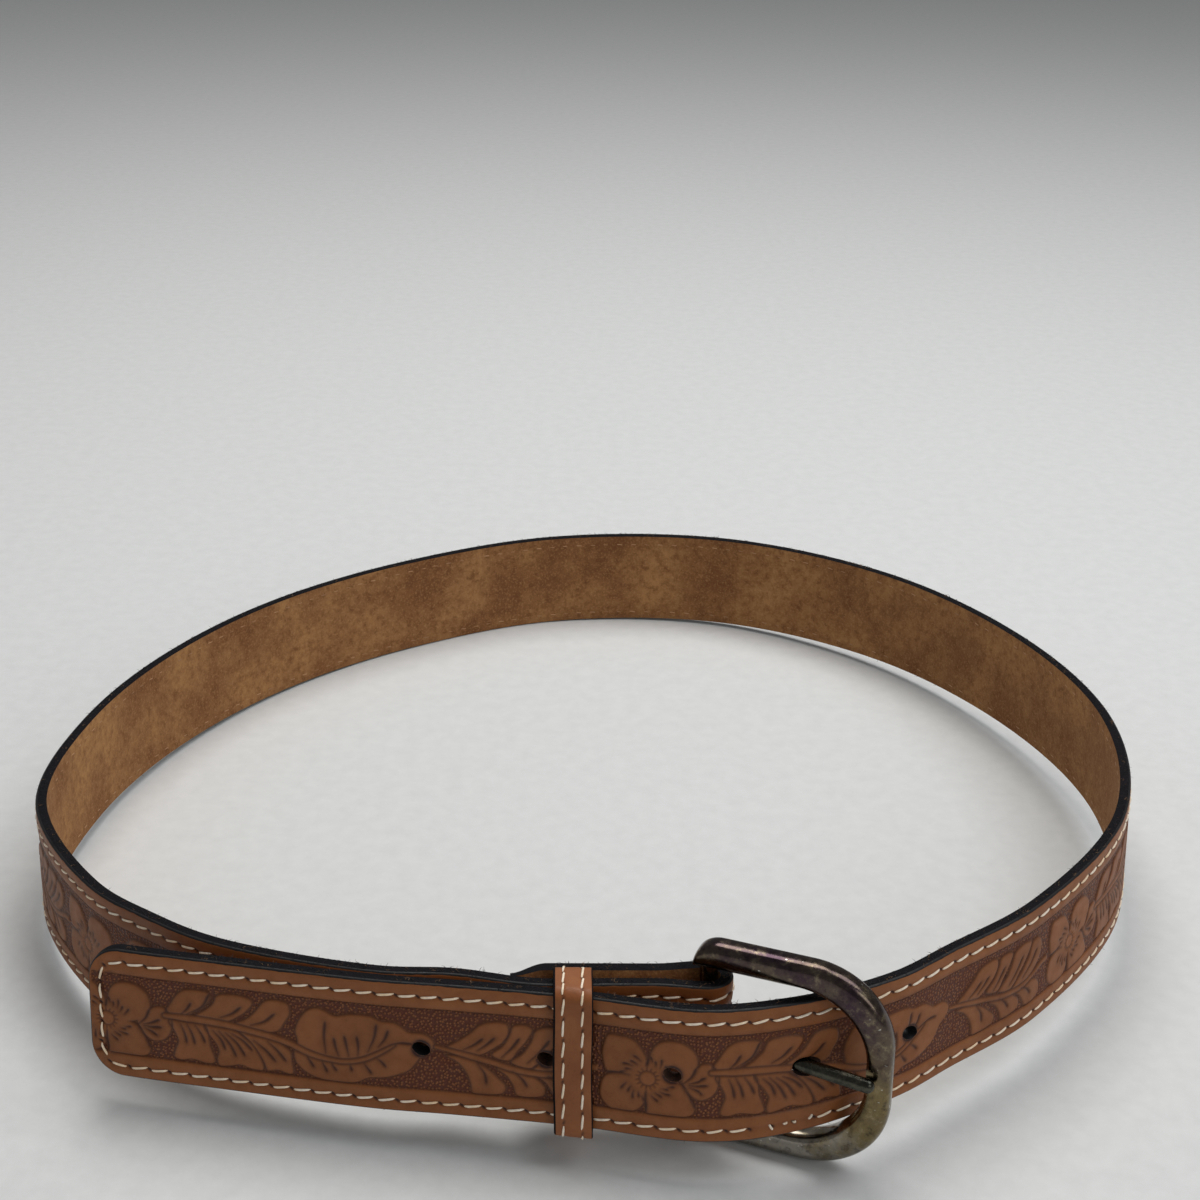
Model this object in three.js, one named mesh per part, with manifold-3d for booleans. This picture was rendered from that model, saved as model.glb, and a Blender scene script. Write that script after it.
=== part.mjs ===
// A western tooled leather belt, fastened into its loop and standing on its edge.
// One veg-tan strap runs from a round-cornered tip, over the buckle's heel bar, round the loop
// and back to the buckle, where it folds round the heel bar and lies back on itself.
// A D-shaped buckle frame, its prong, a leather keeper and two hidden rivets complete it.
// Sizes are in millimetres. In the belt's own plan X runs to the right along the front,
// Y runs from the buckle towards the back of the loop, and Z runs up across the strap's width.

import * as THREE from "three";
import { mergeVertices } from "three/addons/utils/BufferGeometryUtils.js";
import Module from "manifold-3d";

const wasm = await Module();
wasm.setup();

// Driving dimensions of the strap
const STRAP_WIDTH = 31.75;
const STRAP_THICKNESS = 3;
const EDGE_BEVEL = 0.5;
const TIP_CORNER_RADIUS = 8;
const TIP_RUN = 77.8; // from the first hole to the end of the tip
const HOLE_SPACING = 27.9;
const HOLE_DIAMETER = 4.8;
const HOLES_ON_TIP_SIDE = 3;
const HOLES_ON_LOOP_SIDE = 1;
const LOOP_WIDTH = 290; // between the strap's middle lines, side to side
const LOOP_DEPTH = 266.6; // between the strap's middle lines, buckle layer to back

// Driving dimensions of the fold round the heel bar
const FOLD_BACK_LENGTH = 43.7; // from the heel bar to the skived end
const FOLD_EASE = 12; // over which the fold narrows behind the bar
const SKIVE_LENGTH = 8;
const SKIVE_THICKNESS = 1.3;
const SLOT_BEHIND_BAR = 9;
const SLOT_HEIGHT = 7.4;

// Driving dimensions of the buckle
const FRAME_HEIGHT = 51.8;
const FRAME_REACH = 38.8; // heel bar to D bar, middle to middle
const RAIL_WIDTH = 6.6;
const D_BAR_WIDTH = 5.8;
const RAIL_DEPTH = 6;
const RAIL_ROUNDING = 1.9;
const HEEL_CORNER_RADIUS = 6;
const D_CORNER_RADIUS = 19;
const HEEL_BAR_DIAMETER = 4.2;
const FRAME_SAG = 0.8; // of the frame's middle below the strap's
const FRAME_YAW_DEG = 21.2; // the D bar stands proud of the strap that passes behind it
const PRONG_DIAMETER = 3.4;
const PRONG_EYE_WALL = 1.6;
const PRONG_EYE_WIDTH = 5;
const PRONG_PAST_BAR = 0.7; // of the prong's tip past the middle of the D bar
const NOTCH_RADIUS = 2.3;

// Driving dimensions of the keeper and the rivets
const KEEPER_WIDTH = 8.7;
const KEEPER_THICKNESS = 1.9;
const KEEPER_CORNER_RADIUS = 2.6;
const KEEPER_TO_HEEL_BAR = 29.8; // middle to middle, along the strap
const RIVET_TO_HEEL_BAR = 19;
const RIVET_SHAFT_DIAMETER = 3;
const RIVET_HEAD_DIAMETER = 6.6;
const RIVET_HEAD_HEIGHT = 1;
const RIVET_INSET = 8.5; // from each edge of the strap

// Clearances and slack
const CLEARANCE = 0.3;
const KEEPER_SLACK = 3.3; // between the two strap layers inside the keeper
const BULGE_GAP = 7.3; // between the fold and the strap that bulges over it
const D_BAR_GAP = 11; // between the D bar and the strap behind it
const HOLE_REACH = 22; // along the prong, from the heel bar to the strap
const TIP_LEAN = 4; // of the tip's layer, its upper edge in and its lower edge out
const LOOP_LEAN = 1.5; // of the loop's front and sides, the lower edge out
const LEAN_FADE = 95; // of the run over which the loop's lean fades towards the buckle
const HEEL_BAR_ACROSS = 25.8; // of the heel bar from the loop's middle
const REST_BEARING_DEG = 115; // in plan, from the buckle to where the strap's edge meets the floor

// The free loop's middle line as shares of half the loop's width and depth, from the right of
// the buckle round the back to the left. tipGap is the clear gap in millimetres between this
// layer and the tip lying in front of it.
const loopStations = [
  { across: 0.556, deep: -0.902 },
  { across: 0.721, deep: -0.759 },
  { across: 0.932, deep: -0.443 },
  { across: 0.999, deep: -0.035 },
  { across: 0.899, deep: 0.379 },
  { across: 0.666, deep: 0.74 },
  { across: 0.31, deep: 0.966 },
  { across: -0.096, deep: 0.976 },
  { across: -0.445, deep: 0.801 },
  { across: -0.71, deep: 0.555 },
  { across: -0.888, deep: 0.254 },
  { across: -0.981, deep: -0.074 },
  { across: -0.982, deep: -0.416 },
  { across: -0.823, deep: -0.706, tipGap: 22.7 },
  { across: -0.708, deep: -0.809, tipGap: 12.8 },
  { across: -0.586, deep: -0.887, tipGap: 5.9 },
  { across: -0.332, deep: -0.965, tipGap: 2.3 },
  { across: -0.21, deep: -0.973, tipGap: 3.3 },
];

// Facets
const PATH_STEP = 6.5;
const FOLD_STEPS = 14;
const ROUND_STEPS = 20;

// Places in plan that follow from the sizes above
const layerPitch = STRAP_THICKNESS + KEEPER_THICKNESS + 2 * CLEARANCE;
const mainLineY = -LOOP_DEPTH / 2;
const heelBar = new THREE.Vector2(HEEL_BAR_ACROSS, mainLineY + layerPitch / 2);
const frameYaw = -THREE.MathUtils.degToRad(FRAME_YAW_DEG);
const alongFrame = new THREE.Vector2(Math.cos(frameYaw), Math.sin(frameYaw));
const intoLoop = new THREE.Vector2(-alongFrame.y, alongFrame.x);
const dBar = heelBar.clone().addScaledVector(alongFrame, FRAME_REACH);
const prongLift = RAIL_DEPTH / 2 + PRONG_DIAMETER / 2 + CLEARANCE;
const prongReach = FRAME_REACH + PRONG_PAST_BAR;
const prongYaw = frameYaw - Math.asin(prongLift / FRAME_REACH);
const alongProng = new THREE.Vector2(Math.cos(prongYaw), Math.sin(prongYaw));
const foldRadius = HEEL_BAR_DIAMETER / 2 + CLEARANCE + STRAP_THICKNESS / 2;
const keeperX = heelBar.x - KEEPER_TO_HEEL_BAR;
const tipLineY = mainLineY - STRAP_THICKNESS - KEEPER_SLACK;
const hole = heelBar.clone().addScaledVector(alongProng, HOLE_REACH);
const usedRun = TIP_RUN + HOLES_ON_TIP_SIDE * HOLE_SPACING;
const beltLine = middleLine();
const beltRuns = runsOf(beltLine);
const keeperRun = runNearest(beltLine, beltRuns, new THREE.Vector2(keeperX, mainLineY));

// A closed geometry as a manifold-3d solid
function solid(geometry) {
  const bare = geometry.clone();
  bare.deleteAttribute("normal");
  bare.deleteAttribute("uv");
  const merged = mergeVertices(bare, 1e-4);
  return new wasm.Manifold(
    new wasm.Mesh({
      numProp: 3,
      vertProperties: new Float32Array(merged.attributes.position.array),
      triVerts: new Uint32Array(merged.index.array),
    }),
  );
}

// A manifold-3d solid as a named mesh
function meshOf(body, name, material) {
  const made = body.getMesh();
  const geometry = new THREE.BufferGeometry();
  geometry.setAttribute("position", new THREE.BufferAttribute(new Float32Array(made.vertProperties), 3));
  geometry.setIndex(new THREE.BufferAttribute(new Uint32Array(made.triVerts), 1));
  geometry.computeVertexNormals();
  const mesh = new THREE.Mesh(geometry, material);
  mesh.name = name;
  return mesh;
}

// A cylinder whose axis lies level, through a point, along a plan direction
function levelCylinder(radius, length, at, direction, height) {
  const geometry = new THREE.CylinderGeometry(radius, radius, length, ROUND_STEPS);
  geometry.rotateZ(Math.atan2(direction.y, direction.x) - Math.PI / 2);
  geometry.translate(at.x, at.y, height);
  return solid(geometry);
}

// The strap's middle line from the tip to the front of the fold
function freeLine() {
  const place = (row) => new THREE.Vector3(
    (row.across * LOOP_WIDTH) / 2,
    (row.deep * LOOP_DEPTH) / 2,
    0,
  );
  const overTip = loopStations
    .filter((row) => row.tipGap !== undefined)
    .map((row) => place(row).add(new THREE.Vector3(0, -STRAP_THICKNESS - row.tipGap, 0)));
  const pastTip = overTip[0].clone().multiplyScalar(2).sub(overTip[1]);
  const bulgeY = heelBar.y - foldRadius - STRAP_THICKNESS - BULGE_GAP;
  const behindD = dBar
    .clone()
    .addScaledVector(intoLoop, RAIL_DEPTH / 2 + D_BAR_GAP + STRAP_THICKNESS / 2);
  const stations = [
    pastTip,
    ...overTip,
    new THREE.Vector3(keeperX, tipLineY, 0),
    new THREE.Vector3(heelBar.x, bulgeY, 0),
    new THREE.Vector3(hole.x, hole.y, 0),
    new THREE.Vector3(behindD.x, behindD.y, 0),
    ...loopStations.map(place),
    new THREE.Vector3(keeperX - KEEPER_WIDTH, mainLineY, 0),
    new THREE.Vector3(heelBar.x - RIVET_TO_HEEL_BAR, mainLineY, 0),
  ];
  return new THREE.CatmullRomCurve3(stations, false, "centripetal");
}

// Points of the free line, one about every PATH_STEP
function spacedPoints(curve) {
  const count = Math.round(curve.getLength() / PATH_STEP);
  return curve.getSpacedPoints(count).map((p) => new THREE.Vector2(p.x, p.y));
}

// A value that eases from one end to the other with level ends
function ease(from, to, share) {
  return from + ((to - from) * (1 - Math.cos(Math.PI * share))) / 2;
}

// The two layers behind and in front of the heel bar, and the half turn between them
function foldLine() {
  const points = [];
  const near = layerPitch / 2;
  const easeSteps = 4;
  for (let i = 0; i <= easeSteps; i++) {
    const share = i / easeSteps;
    const x = heelBar.x - FOLD_EASE * (1 - share);
    points.push(new THREE.Vector2(x, heelBar.y - ease(near, foldRadius, share)));
  }
  for (let i = 1; i < FOLD_STEPS; i++) {
    const angle = -Math.PI / 2 + (Math.PI * i) / FOLD_STEPS;
    points.push(
      new THREE.Vector2(Math.cos(angle), Math.sin(angle)).multiplyScalar(foldRadius).add(heelBar),
    );
  }
  for (let i = 0; i <= easeSteps; i++) {
    const share = i / easeSteps;
    const x = heelBar.x - FOLD_EASE * share;
    points.push(new THREE.Vector2(x, heelBar.y + ease(foldRadius, near, share)));
  }
  const skiveStart = heelBar.x - FOLD_BACK_LENGTH + SKIVE_LENGTH;
  const rest = mainLineY + (STRAP_THICKNESS + SKIVE_THICKNESS) / 2 + CLEARANCE;
  points.push(new THREE.Vector2(skiveStart + SKIVE_LENGTH / 2, heelBar.y + near));
  for (let i = 0; i <= easeSteps; i++) {
    const share = i / easeSteps;
    const x = skiveStart - SKIVE_LENGTH * share;
    points.push(new THREE.Vector2(x, ease(heelBar.y + near, rest, share)));
  }
  return points;
}

// The whole strap's middle line from the end of the tip to the skived end
function middleLine() {
  const free = spacedPoints(freeLine());
  const runs = runsOf(free);
  const tipAt = runNearest(free, runs, hole) - usedRun;
  const tip = atRun(free, runs, tipAt).point;
  return [tip, ...free.filter((p, i) => runs[i] > tipAt + PATH_STEP / 4), ...foldLine()];
}

// Distance along a polyline to each of its points
function runsOf(points) {
  const runs = [0];
  for (let i = 1; i < points.length; i++) runs.push(runs[i - 1] + points[i].distanceTo(points[i - 1]));
  return runs;
}

// The point and forward direction at a distance along a polyline
function atRun(points, runs, run) {
  let i = runs.findIndex((r) => r > run);
  if (i < 1) i = points.length - 1;
  const share = (run - runs[i - 1]) / (runs[i] - runs[i - 1]);
  return {
    point: points[i - 1].clone().lerp(points[i], share),
    forward: points[i].clone().sub(points[i - 1]).normalize(),
  };
}

// Distance along a polyline to where it passes closest to a point
function runNearest(points, runs, target) {
  let best = { distance: Infinity, run: 0 };
  for (let i = 1; i < points.length; i++) {
    const span = points[i].clone().sub(points[i - 1]);
    const share = THREE.MathUtils.clamp(
      target.clone().sub(points[i - 1]).dot(span) / span.lengthSq(), 0, 1);
    const distance = points[i - 1].clone().addScaledVector(span, share).distanceTo(target);
    if (distance < best.distance) best = { distance, run: runs[i - 1] + share * span.length() };
  }
  return best.run;
}

// How far into the loop the strap lies at a distance along it and a height
function leanAt(run, height) {
  const { smoothstep } = THREE.MathUtils;
  const { point } = atRun(beltLine, beltRuns, run);
  const tip = 1 - smoothstep(run, usedRun - HOLE_SPACING / 2, usedRun + HOLE_SPACING);
  const front = 1 - smoothstep(point.y, -LOOP_DEPTH / 8, LOOP_DEPTH / 3);
  const fade = smoothstep(keeperRun - run, KEEPER_WIDTH, KEEPER_WIDTH + LEAN_FADE);
  const up = height / STRAP_WIDTH;
  return TIP_LEAN * tip * (up - 0.5) + LOOP_LEAN * (1 - tip) * front * fade * (up - 1);
}

// The strap's plan outline: its middle line offset to both faces, thinned at the skived end
function strapOutline() {
  const total = beltRuns[beltRuns.length - 1];
  const outer = [];
  const inner = [];
  beltLine.forEach((p, i) => {
    const before = beltLine[Math.max(i - 1, 0)];
    const after = beltLine[Math.min(i + 1, beltLine.length - 1)];
    const forward = after.clone().sub(before).normalize();
    const side = new THREE.Vector2(forward.y, -forward.x);
    const share = THREE.MathUtils.clamp((total - beltRuns[i]) / SKIVE_LENGTH, 0, 1);
    const half = THREE.MathUtils.lerp(SKIVE_THICKNESS, STRAP_THICKNESS, share) / 2;
    outer.push(p.clone().addScaledVector(side, half));
    inner.push(p.clone().addScaledVector(side, -half));
  });
  return new THREE.Shape([...outer, ...inner.reverse()]);
}

// What is cut away outside the tip's two rounded corners
function tipCornerCut(tip) {
  const r = TIP_CORNER_RADIUS;
  const past = 2;
  const shape = new THREE.Shape();
  shape.moveTo(-past, -past);
  shape.lineTo(r, -past);
  shape.lineTo(r, 0);
  shape.absarc(r, r, r, -Math.PI / 2, -Math.PI, true);
  shape.lineTo(-past, r);
  shape.closePath();
  const depth = STRAP_THICKNESS * 3;
  const yaw = Math.atan2(tip.forward.y, tip.forward.x);
  const corner = (flip) => {
    const geometry = new THREE.ExtrudeGeometry(shape, { depth, bevelEnabled: false, curveSegments: 8 });
    geometry.translate(0, 0, -depth / 2);
    geometry.rotateX(Math.PI / 2);
    if (flip) geometry.rotateX(Math.PI);
    geometry.translate(0, 0, flip ? STRAP_WIDTH : 0);
    geometry.rotateZ(yaw);
    geometry.translate(tip.point.x, tip.point.y, 0);
    return solid(geometry);
  };
  return corner(false).add(corner(true));
}

function makeStrap(material) {
  const geometry = new THREE.ExtrudeGeometry(strapOutline(), {
    depth: STRAP_WIDTH - 2 * EDGE_BEVEL,
    bevelEnabled: true,
    bevelThickness: EDGE_BEVEL,
    bevelSize: EDGE_BEVEL,
    bevelOffset: -EDGE_BEVEL,
    bevelSegments: 1,
  });
  geometry.translate(0, 0, EDGE_BEVEL);
  let strap = solid(geometry).subtract(tipCornerCut(atRun(beltLine, beltRuns, 0)));
  const throughStrap = STRAP_THICKNESS * 3;
  for (let i = -HOLES_ON_TIP_SIDE; i <= HOLES_ON_LOOP_SIDE; i++) {
    const spot = atRun(beltLine, beltRuns, usedRun + i * HOLE_SPACING);
    const through = new THREE.Vector2(-spot.forward.y, spot.forward.x);
    const direction = i === 0 ? alongProng : through;
    const length = i === 0 ? throughStrap * 1.5 : throughStrap;
    strap = strap.subtract(
      levelCylinder(HOLE_DIAMETER / 2, length, spot.point, direction, STRAP_WIDTH / 2));
  }
  const slotFront = foldRadius + STRAP_THICKNESS;
  const slot = new THREE.BoxGeometry(
    SLOT_BEHIND_BAR + slotFront, 2 * slotFront, SLOT_HEIGHT);
  slot.translate(heelBar.x + (slotFront - SLOT_BEHIND_BAR) / 2, heelBar.y, STRAP_WIDTH / 2);
  strap = strap.subtract(solid(slot));
  for (const height of rivetHeights()) {
    strap = strap.subtract(
      levelCylinder(
        RIVET_SHAFT_DIAMETER / 2 + CLEARANCE, 2 * layerPitch + STRAP_THICKNESS, rivetPlace(),
        new THREE.Vector2(0, 1), height));
  }
  return meshOf(moved(strap, leanStrap), "strap", material);
}

// Moves a point of the strap in or out with its height
function leanStrap(p) {
  const run = runNearest(beltLine, beltRuns, new THREE.Vector2(p.x, p.y));
  const { forward } = atRun(beltLine, beltRuns, run);
  const inward = leanAt(run, p.z);
  p.x -= forward.y * inward;
  p.y += forward.x * inward;
}

// A solid with each of its points moved
function moved(body, move) {
  const made = body.getMesh();
  const spots = new Float32Array(made.vertProperties);
  const p = new THREE.Vector3();
  for (let i = 0; i < spots.length; i += 3) {
    p.fromArray(spots, i);
    move(p);
    p.toArray(spots, i);
  }
  return new wasm.Manifold(
    new wasm.Mesh({ numProp: 3, vertProperties: spots, triVerts: new Uint32Array(made.triVerts) }),
  );
}

// A keeper ring seen along the strap: its depth in plan and its height
function makeKeeper(material) {
  const backOut = mainLineY + STRAP_THICKNESS / 2 + CLEARANCE + KEEPER_THICKNESS;
  const frontOut = tipLineY - STRAP_THICKNESS / 2 - CLEARANCE - KEEPER_THICKNESS;
  const topOut = STRAP_WIDTH + CLEARANCE + KEEPER_THICKNESS;
  const bottomOut = -CLEARANCE - KEEPER_THICKNESS;
  const ring = new THREE.Shape();
  roundedRectangle(ring, frontOut, bottomOut, backOut, topOut, KEEPER_CORNER_RADIUS, KEEPER_CORNER_RADIUS);
  const inside = new THREE.Path();
  const wall = KEEPER_THICKNESS;
  const innerRadius = KEEPER_CORNER_RADIUS - KEEPER_THICKNESS;
  roundedRectangle(
    inside, frontOut + wall, bottomOut + wall, backOut - wall, topOut - wall, innerRadius, innerRadius);
  ring.holes.push(inside);
  const bevel = EDGE_BEVEL / 2;
  const geometry = new THREE.ExtrudeGeometry(ring, {
    depth: KEEPER_WIDTH - 2 * bevel,
    bevelEnabled: true,
    bevelThickness: bevel,
    bevelSize: bevel,
    bevelOffset: -bevel,
    bevelSegments: 1,
    curveSegments: 5,
  });
  geometry.translate(0, 0, bevel - KEEPER_WIDTH / 2);
  geometry.rotateX(Math.PI / 2);
  geometry.rotateZ(Math.PI / 2);
  geometry.translate(keeperX, 0, 0);
  const followTip = (p) => {
    const share = THREE.MathUtils.clamp((backOut - wall - p.y) / (backOut - frontOut - 2 * wall), 0, 1);
    const run = runNearest(beltLine, beltRuns, new THREE.Vector2(p.x, tipLineY));
    const slope = atRun(beltLine, beltRuns, run).point.y - tipLineY;
    p.y += share * (slope + leanAt(run, p.z));
  };
  return meshOf(moved(solid(geometry), followTip), "keeper", material);
}

// A rectangle whose left and right corners have their own radii
function roundedRectangle(path, x0, y0, x1, y1, leftRadius, rightRadius) {
  path.moveTo(x0 + leftRadius, y0);
  path.absarc(x1 - rightRadius, y0 + rightRadius, rightRadius, -Math.PI / 2, 0, false);
  path.absarc(x1 - rightRadius, y1 - rightRadius, rightRadius, 0, Math.PI / 2, false);
  path.absarc(x0 + leftRadius, y1 - leftRadius, leftRadius, Math.PI / 2, Math.PI, false);
  path.absarc(x0 + leftRadius, y0 + leftRadius, leftRadius, Math.PI, (3 * Math.PI) / 2, false);
  path.closePath();
}

// The D frame is drawn with its reach along X and its height along Y, the heel bar at X 0
function makeFrame(material) {
  const half = FRAME_HEIGHT / 2;
  const rail = RAIL_WIDTH / 2;
  const ring = new THREE.Shape();
  roundedRectangle(ring, -rail, -half, FRAME_REACH + rail, half, HEEL_CORNER_RADIUS, D_CORNER_RADIUS);
  const inside = new THREE.Path();
  const heelInner = HEEL_CORNER_RADIUS / 3;
  roundedRectangle(
    inside, rail, -half + RAIL_WIDTH, FRAME_REACH + rail - D_BAR_WIDTH, half - RAIL_WIDTH,
    heelInner, D_CORNER_RADIUS - D_BAR_WIDTH / 2);
  ring.holes.push(inside);
  const geometry = new THREE.ExtrudeGeometry(ring, {
    depth: RAIL_DEPTH - 2 * RAIL_ROUNDING,
    bevelEnabled: true,
    bevelThickness: RAIL_ROUNDING,
    bevelSize: RAIL_ROUNDING,
    bevelOffset: -RAIL_ROUNDING,
    bevelSegments: 3,
    curveSegments: 10,
  });
  geometry.translate(0, 0, RAIL_ROUNDING - RAIL_DEPTH / 2);
  const betweenRails = FRAME_HEIGHT - 2 * RAIL_WIDTH;
  const heelCut = new THREE.BoxGeometry(RAIL_WIDTH * 1.2, betweenRails, RAIL_DEPTH * 2);
  const bar = new THREE.CylinderGeometry(
    HEEL_BAR_DIAMETER / 2, HEEL_BAR_DIAMETER / 2, betweenRails + RAIL_WIDTH, ROUND_STEPS);
  const notch = new THREE.CylinderGeometry(NOTCH_RADIUS, NOTCH_RADIUS, RAIL_WIDTH, ROUND_STEPS);
  notch.rotateZ(Math.PI / 2);
  notch.translate(FRAME_REACH - RAIL_WIDTH * 0.6, FRAME_SAG, RAIL_DEPTH / 2);
  const frame = solid(geometry).subtract(solid(heelCut)).add(solid(bar)).subtract(solid(notch));
  return buckleMesh(frame, "buckle_frame", material, frameYaw, STRAP_WIDTH / 2 - FRAME_SAG);
}

// Stands a piece drawn flat on the heel bar up across the strap and turns it to its yaw
function buckleMesh(body, name, material, yaw, height) {
  const mesh = meshOf(body, name, material);
  mesh.rotation.set(Math.PI / 2, 0, yaw, "ZXY");
  mesh.position.set(heelBar.x, heelBar.y, height);
  return mesh;
}

// The prong is drawn along X from the heel bar, its eye round the bar's axis along Y
function makeProng(material) {
  const radius = PRONG_DIAMETER / 2;
  const shaft = new THREE.CapsuleGeometry(radius, prongReach - radius, 6, ROUND_STEPS);
  shaft.rotateZ(Math.PI / 2);
  shaft.translate((prongReach - radius) / 2, 0, 0);
  const boreRadius = HEEL_BAR_DIAMETER / 2 + CLEARANCE;
  const eyeRadius = boreRadius + PRONG_EYE_WALL;
  const eye = new THREE.CylinderGeometry(eyeRadius, eyeRadius, PRONG_EYE_WIDTH, ROUND_STEPS);
  const bore = new THREE.CylinderGeometry(boreRadius, boreRadius, PRONG_EYE_WIDTH * 2, ROUND_STEPS);
  const prong = solid(shaft).add(solid(eye)).subtract(solid(bore));
  return buckleMesh(prong, "prong", material, prongYaw, STRAP_WIDTH / 2);
}

function rivetPlace() {
  return new THREE.Vector2(heelBar.x - RIVET_TO_HEEL_BAR, heelBar.y);
}

function rivetHeights() {
  return [RIVET_INSET, STRAP_WIDTH - RIVET_INSET];
}

// A tubular rivet that holds the fold closed, with a low head on each outer face
function makeRivet(name, height, material) {
  const shaft = RIVET_SHAFT_DIAMETER / 2;
  const head = RIVET_HEAD_DIAMETER / 2;
  const seat = (layerPitch + STRAP_THICKNESS) / 2 + CLEARANCE;
  const top = seat + RIVET_HEAD_HEIGHT;
  const crown = RIVET_HEAD_HEIGHT / 2;
  const profile = [
    new THREE.Vector2(0, -top),
    new THREE.Vector2(head - crown, -top),
    new THREE.Vector2(head, -top + crown),
    new THREE.Vector2(head, -seat),
    new THREE.Vector2(shaft, -seat),
    new THREE.Vector2(shaft, seat),
    new THREE.Vector2(head, seat),
    new THREE.Vector2(head, top - crown),
    new THREE.Vector2(head - crown, top),
    new THREE.Vector2(0, top),
  ];
  const geometry = new THREE.LatheGeometry(profile, ROUND_STEPS);
  const place = rivetPlace();
  geometry.translate(place.x, place.y, height);
  return meshOf(solid(geometry), name, material);
}

// The belt stands on the buckle's lower rail in front and on the strap's edge at the back
function standOnFloor(belt) {
  const drop = FRAME_HEIGHT / 2 - STRAP_WIDTH / 2 + FRAME_SAG;
  const foot = heelBar
    .clone()
    .addScaledVector(alongFrame, HEEL_CORNER_RADIUS - RAIL_WIDTH / 2)
    .addScaledVector(intoLoop, RAIL_DEPTH / 2 - RAIL_ROUNDING);
  const bearing = THREE.MathUtils.degToRad(REST_BEARING_DEG);
  const heading = new THREE.Vector2(Math.cos(bearing), Math.sin(bearing));
  const back = Math.max(...beltLine.map((p) => p.dot(heading))) + STRAP_THICKNESS / 2 - EDGE_BEVEL;
  const tilt = Math.atan2(drop, back - foot.dot(heading));
  belt.quaternion.setFromAxisAngle(new THREE.Vector3(-heading.y, heading.x, 0), tilt);
  const stand = new THREE.Group();
  stand.add(belt);
  const box = new THREE.Box3().setFromObject(stand, true);
  const middle = box.getCenter(new THREE.Vector3());
  stand.position.set(-middle.x, -middle.y, -box.min.z);
  return stand;
}

const leather = new THREE.MeshStandardMaterial({ color: 0xa8693f, roughness: 0.6, metalness: 0 });
const keeperLeather = new THREE.MeshStandardMaterial({ color: 0xa56a42, roughness: 0.6, metalness: 0 });
const nickel = new THREE.MeshStandardMaterial({ color: 0x6e675c, roughness: 0.35, metalness: 1 });
const darkNickel = new THREE.MeshStandardMaterial({ color: 0x3b3c38, roughness: 0.35, metalness: 1 });
const rivetNickel = new THREE.MeshStandardMaterial({ color: 0x8c8880, roughness: 0.4, metalness: 1 });

const belt = new THREE.Group();
belt.add(makeStrap(leather));
belt.add(makeKeeper(keeperLeather));
belt.add(makeFrame(nickel));
belt.add(makeProng(darkNickel));
rivetHeights().forEach((height, i) => {
  belt.add(makeRivet(["fold_rivet_lower", "fold_rivet_upper"][i], height, rivetNickel));
});

export default standOnFloor(belt);
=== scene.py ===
import math

import bpy
import numpy as np
from mathutils import Matrix, Vector


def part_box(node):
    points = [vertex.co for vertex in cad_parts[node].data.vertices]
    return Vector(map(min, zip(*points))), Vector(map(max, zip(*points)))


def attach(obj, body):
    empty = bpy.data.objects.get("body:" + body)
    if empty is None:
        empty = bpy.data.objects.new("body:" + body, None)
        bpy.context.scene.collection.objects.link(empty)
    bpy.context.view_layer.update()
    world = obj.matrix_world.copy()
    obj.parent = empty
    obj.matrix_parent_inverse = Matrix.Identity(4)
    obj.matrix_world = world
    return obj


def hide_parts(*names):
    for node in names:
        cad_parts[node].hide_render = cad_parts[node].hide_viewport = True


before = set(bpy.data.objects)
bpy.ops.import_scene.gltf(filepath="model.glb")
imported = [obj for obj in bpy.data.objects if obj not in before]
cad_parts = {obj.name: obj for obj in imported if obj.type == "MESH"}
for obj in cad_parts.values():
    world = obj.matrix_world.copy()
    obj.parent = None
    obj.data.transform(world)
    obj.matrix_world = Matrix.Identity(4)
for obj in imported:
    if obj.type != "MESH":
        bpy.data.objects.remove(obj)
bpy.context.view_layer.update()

# The belt's sizes, as in the part's source
STRAP_WIDTH = 31.75
STRAP_THICKNESS = 3
TIP_CORNER_RADIUS = 8
TIP_RUN = 77.8
HOLE_SPACING = 27.9
HOLE_DIAMETER = 4.8
HOLES_ON_TIP_SIDE = 3
HOLES_ON_LOOP_SIDE = 1
LOOP_WIDTH = 290
LOOP_DEPTH = 266.6
FOLD_BACK_LENGTH = 43.7
FOLD_EASE = 12
SKIVE_LENGTH = 8
SKIVE_THICKNESS = 1.3
SLOT_BEHIND_BAR = 9
SLOT_HEIGHT = 7.4
FRAME_HEIGHT = 51.8
FRAME_REACH = 38.8
RAIL_WIDTH = 6.6
D_BAR_WIDTH = 5.8
RAIL_DEPTH = 6
RAIL_ROUNDING = 1.9
HEEL_CORNER_RADIUS = 6
D_CORNER_RADIUS = 19
HEEL_BAR_DIAMETER = 4.2
FRAME_SAG = 0.8
FRAME_YAW = -math.radians(21.2)
PRONG_DIAMETER = 3.4
PRONG_EYE_WALL = 1.6
PRONG_EYE_WIDTH = 5
PRONG_PAST_BAR = 0.7
NOTCH_RADIUS = 2.3
KEEPER_WIDTH = 8.7
KEEPER_THICKNESS = 1.9
KEEPER_CORNER_RADIUS = 2.6
KEEPER_TO_HEEL_BAR = 29.8
RIVET_TO_HEEL_BAR = 19
RIVET_HEAD_DIAMETER = 6.6
RIVET_HEAD_HEIGHT = 1
RIVET_INSET = 8.5
CLEARANCE = 0.3
KEEPER_SLACK = 3.3
BULGE_GAP = 7.3
D_BAR_GAP = 11
HOLE_REACH = 22
TIP_LEAN = 4
LOOP_LEAN = 1.5
LEAN_FADE = 95
HEEL_BAR_ACROSS = 25.8
REST_BEARING = math.radians(115)
EDGE_BEVEL = 0.5

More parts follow.
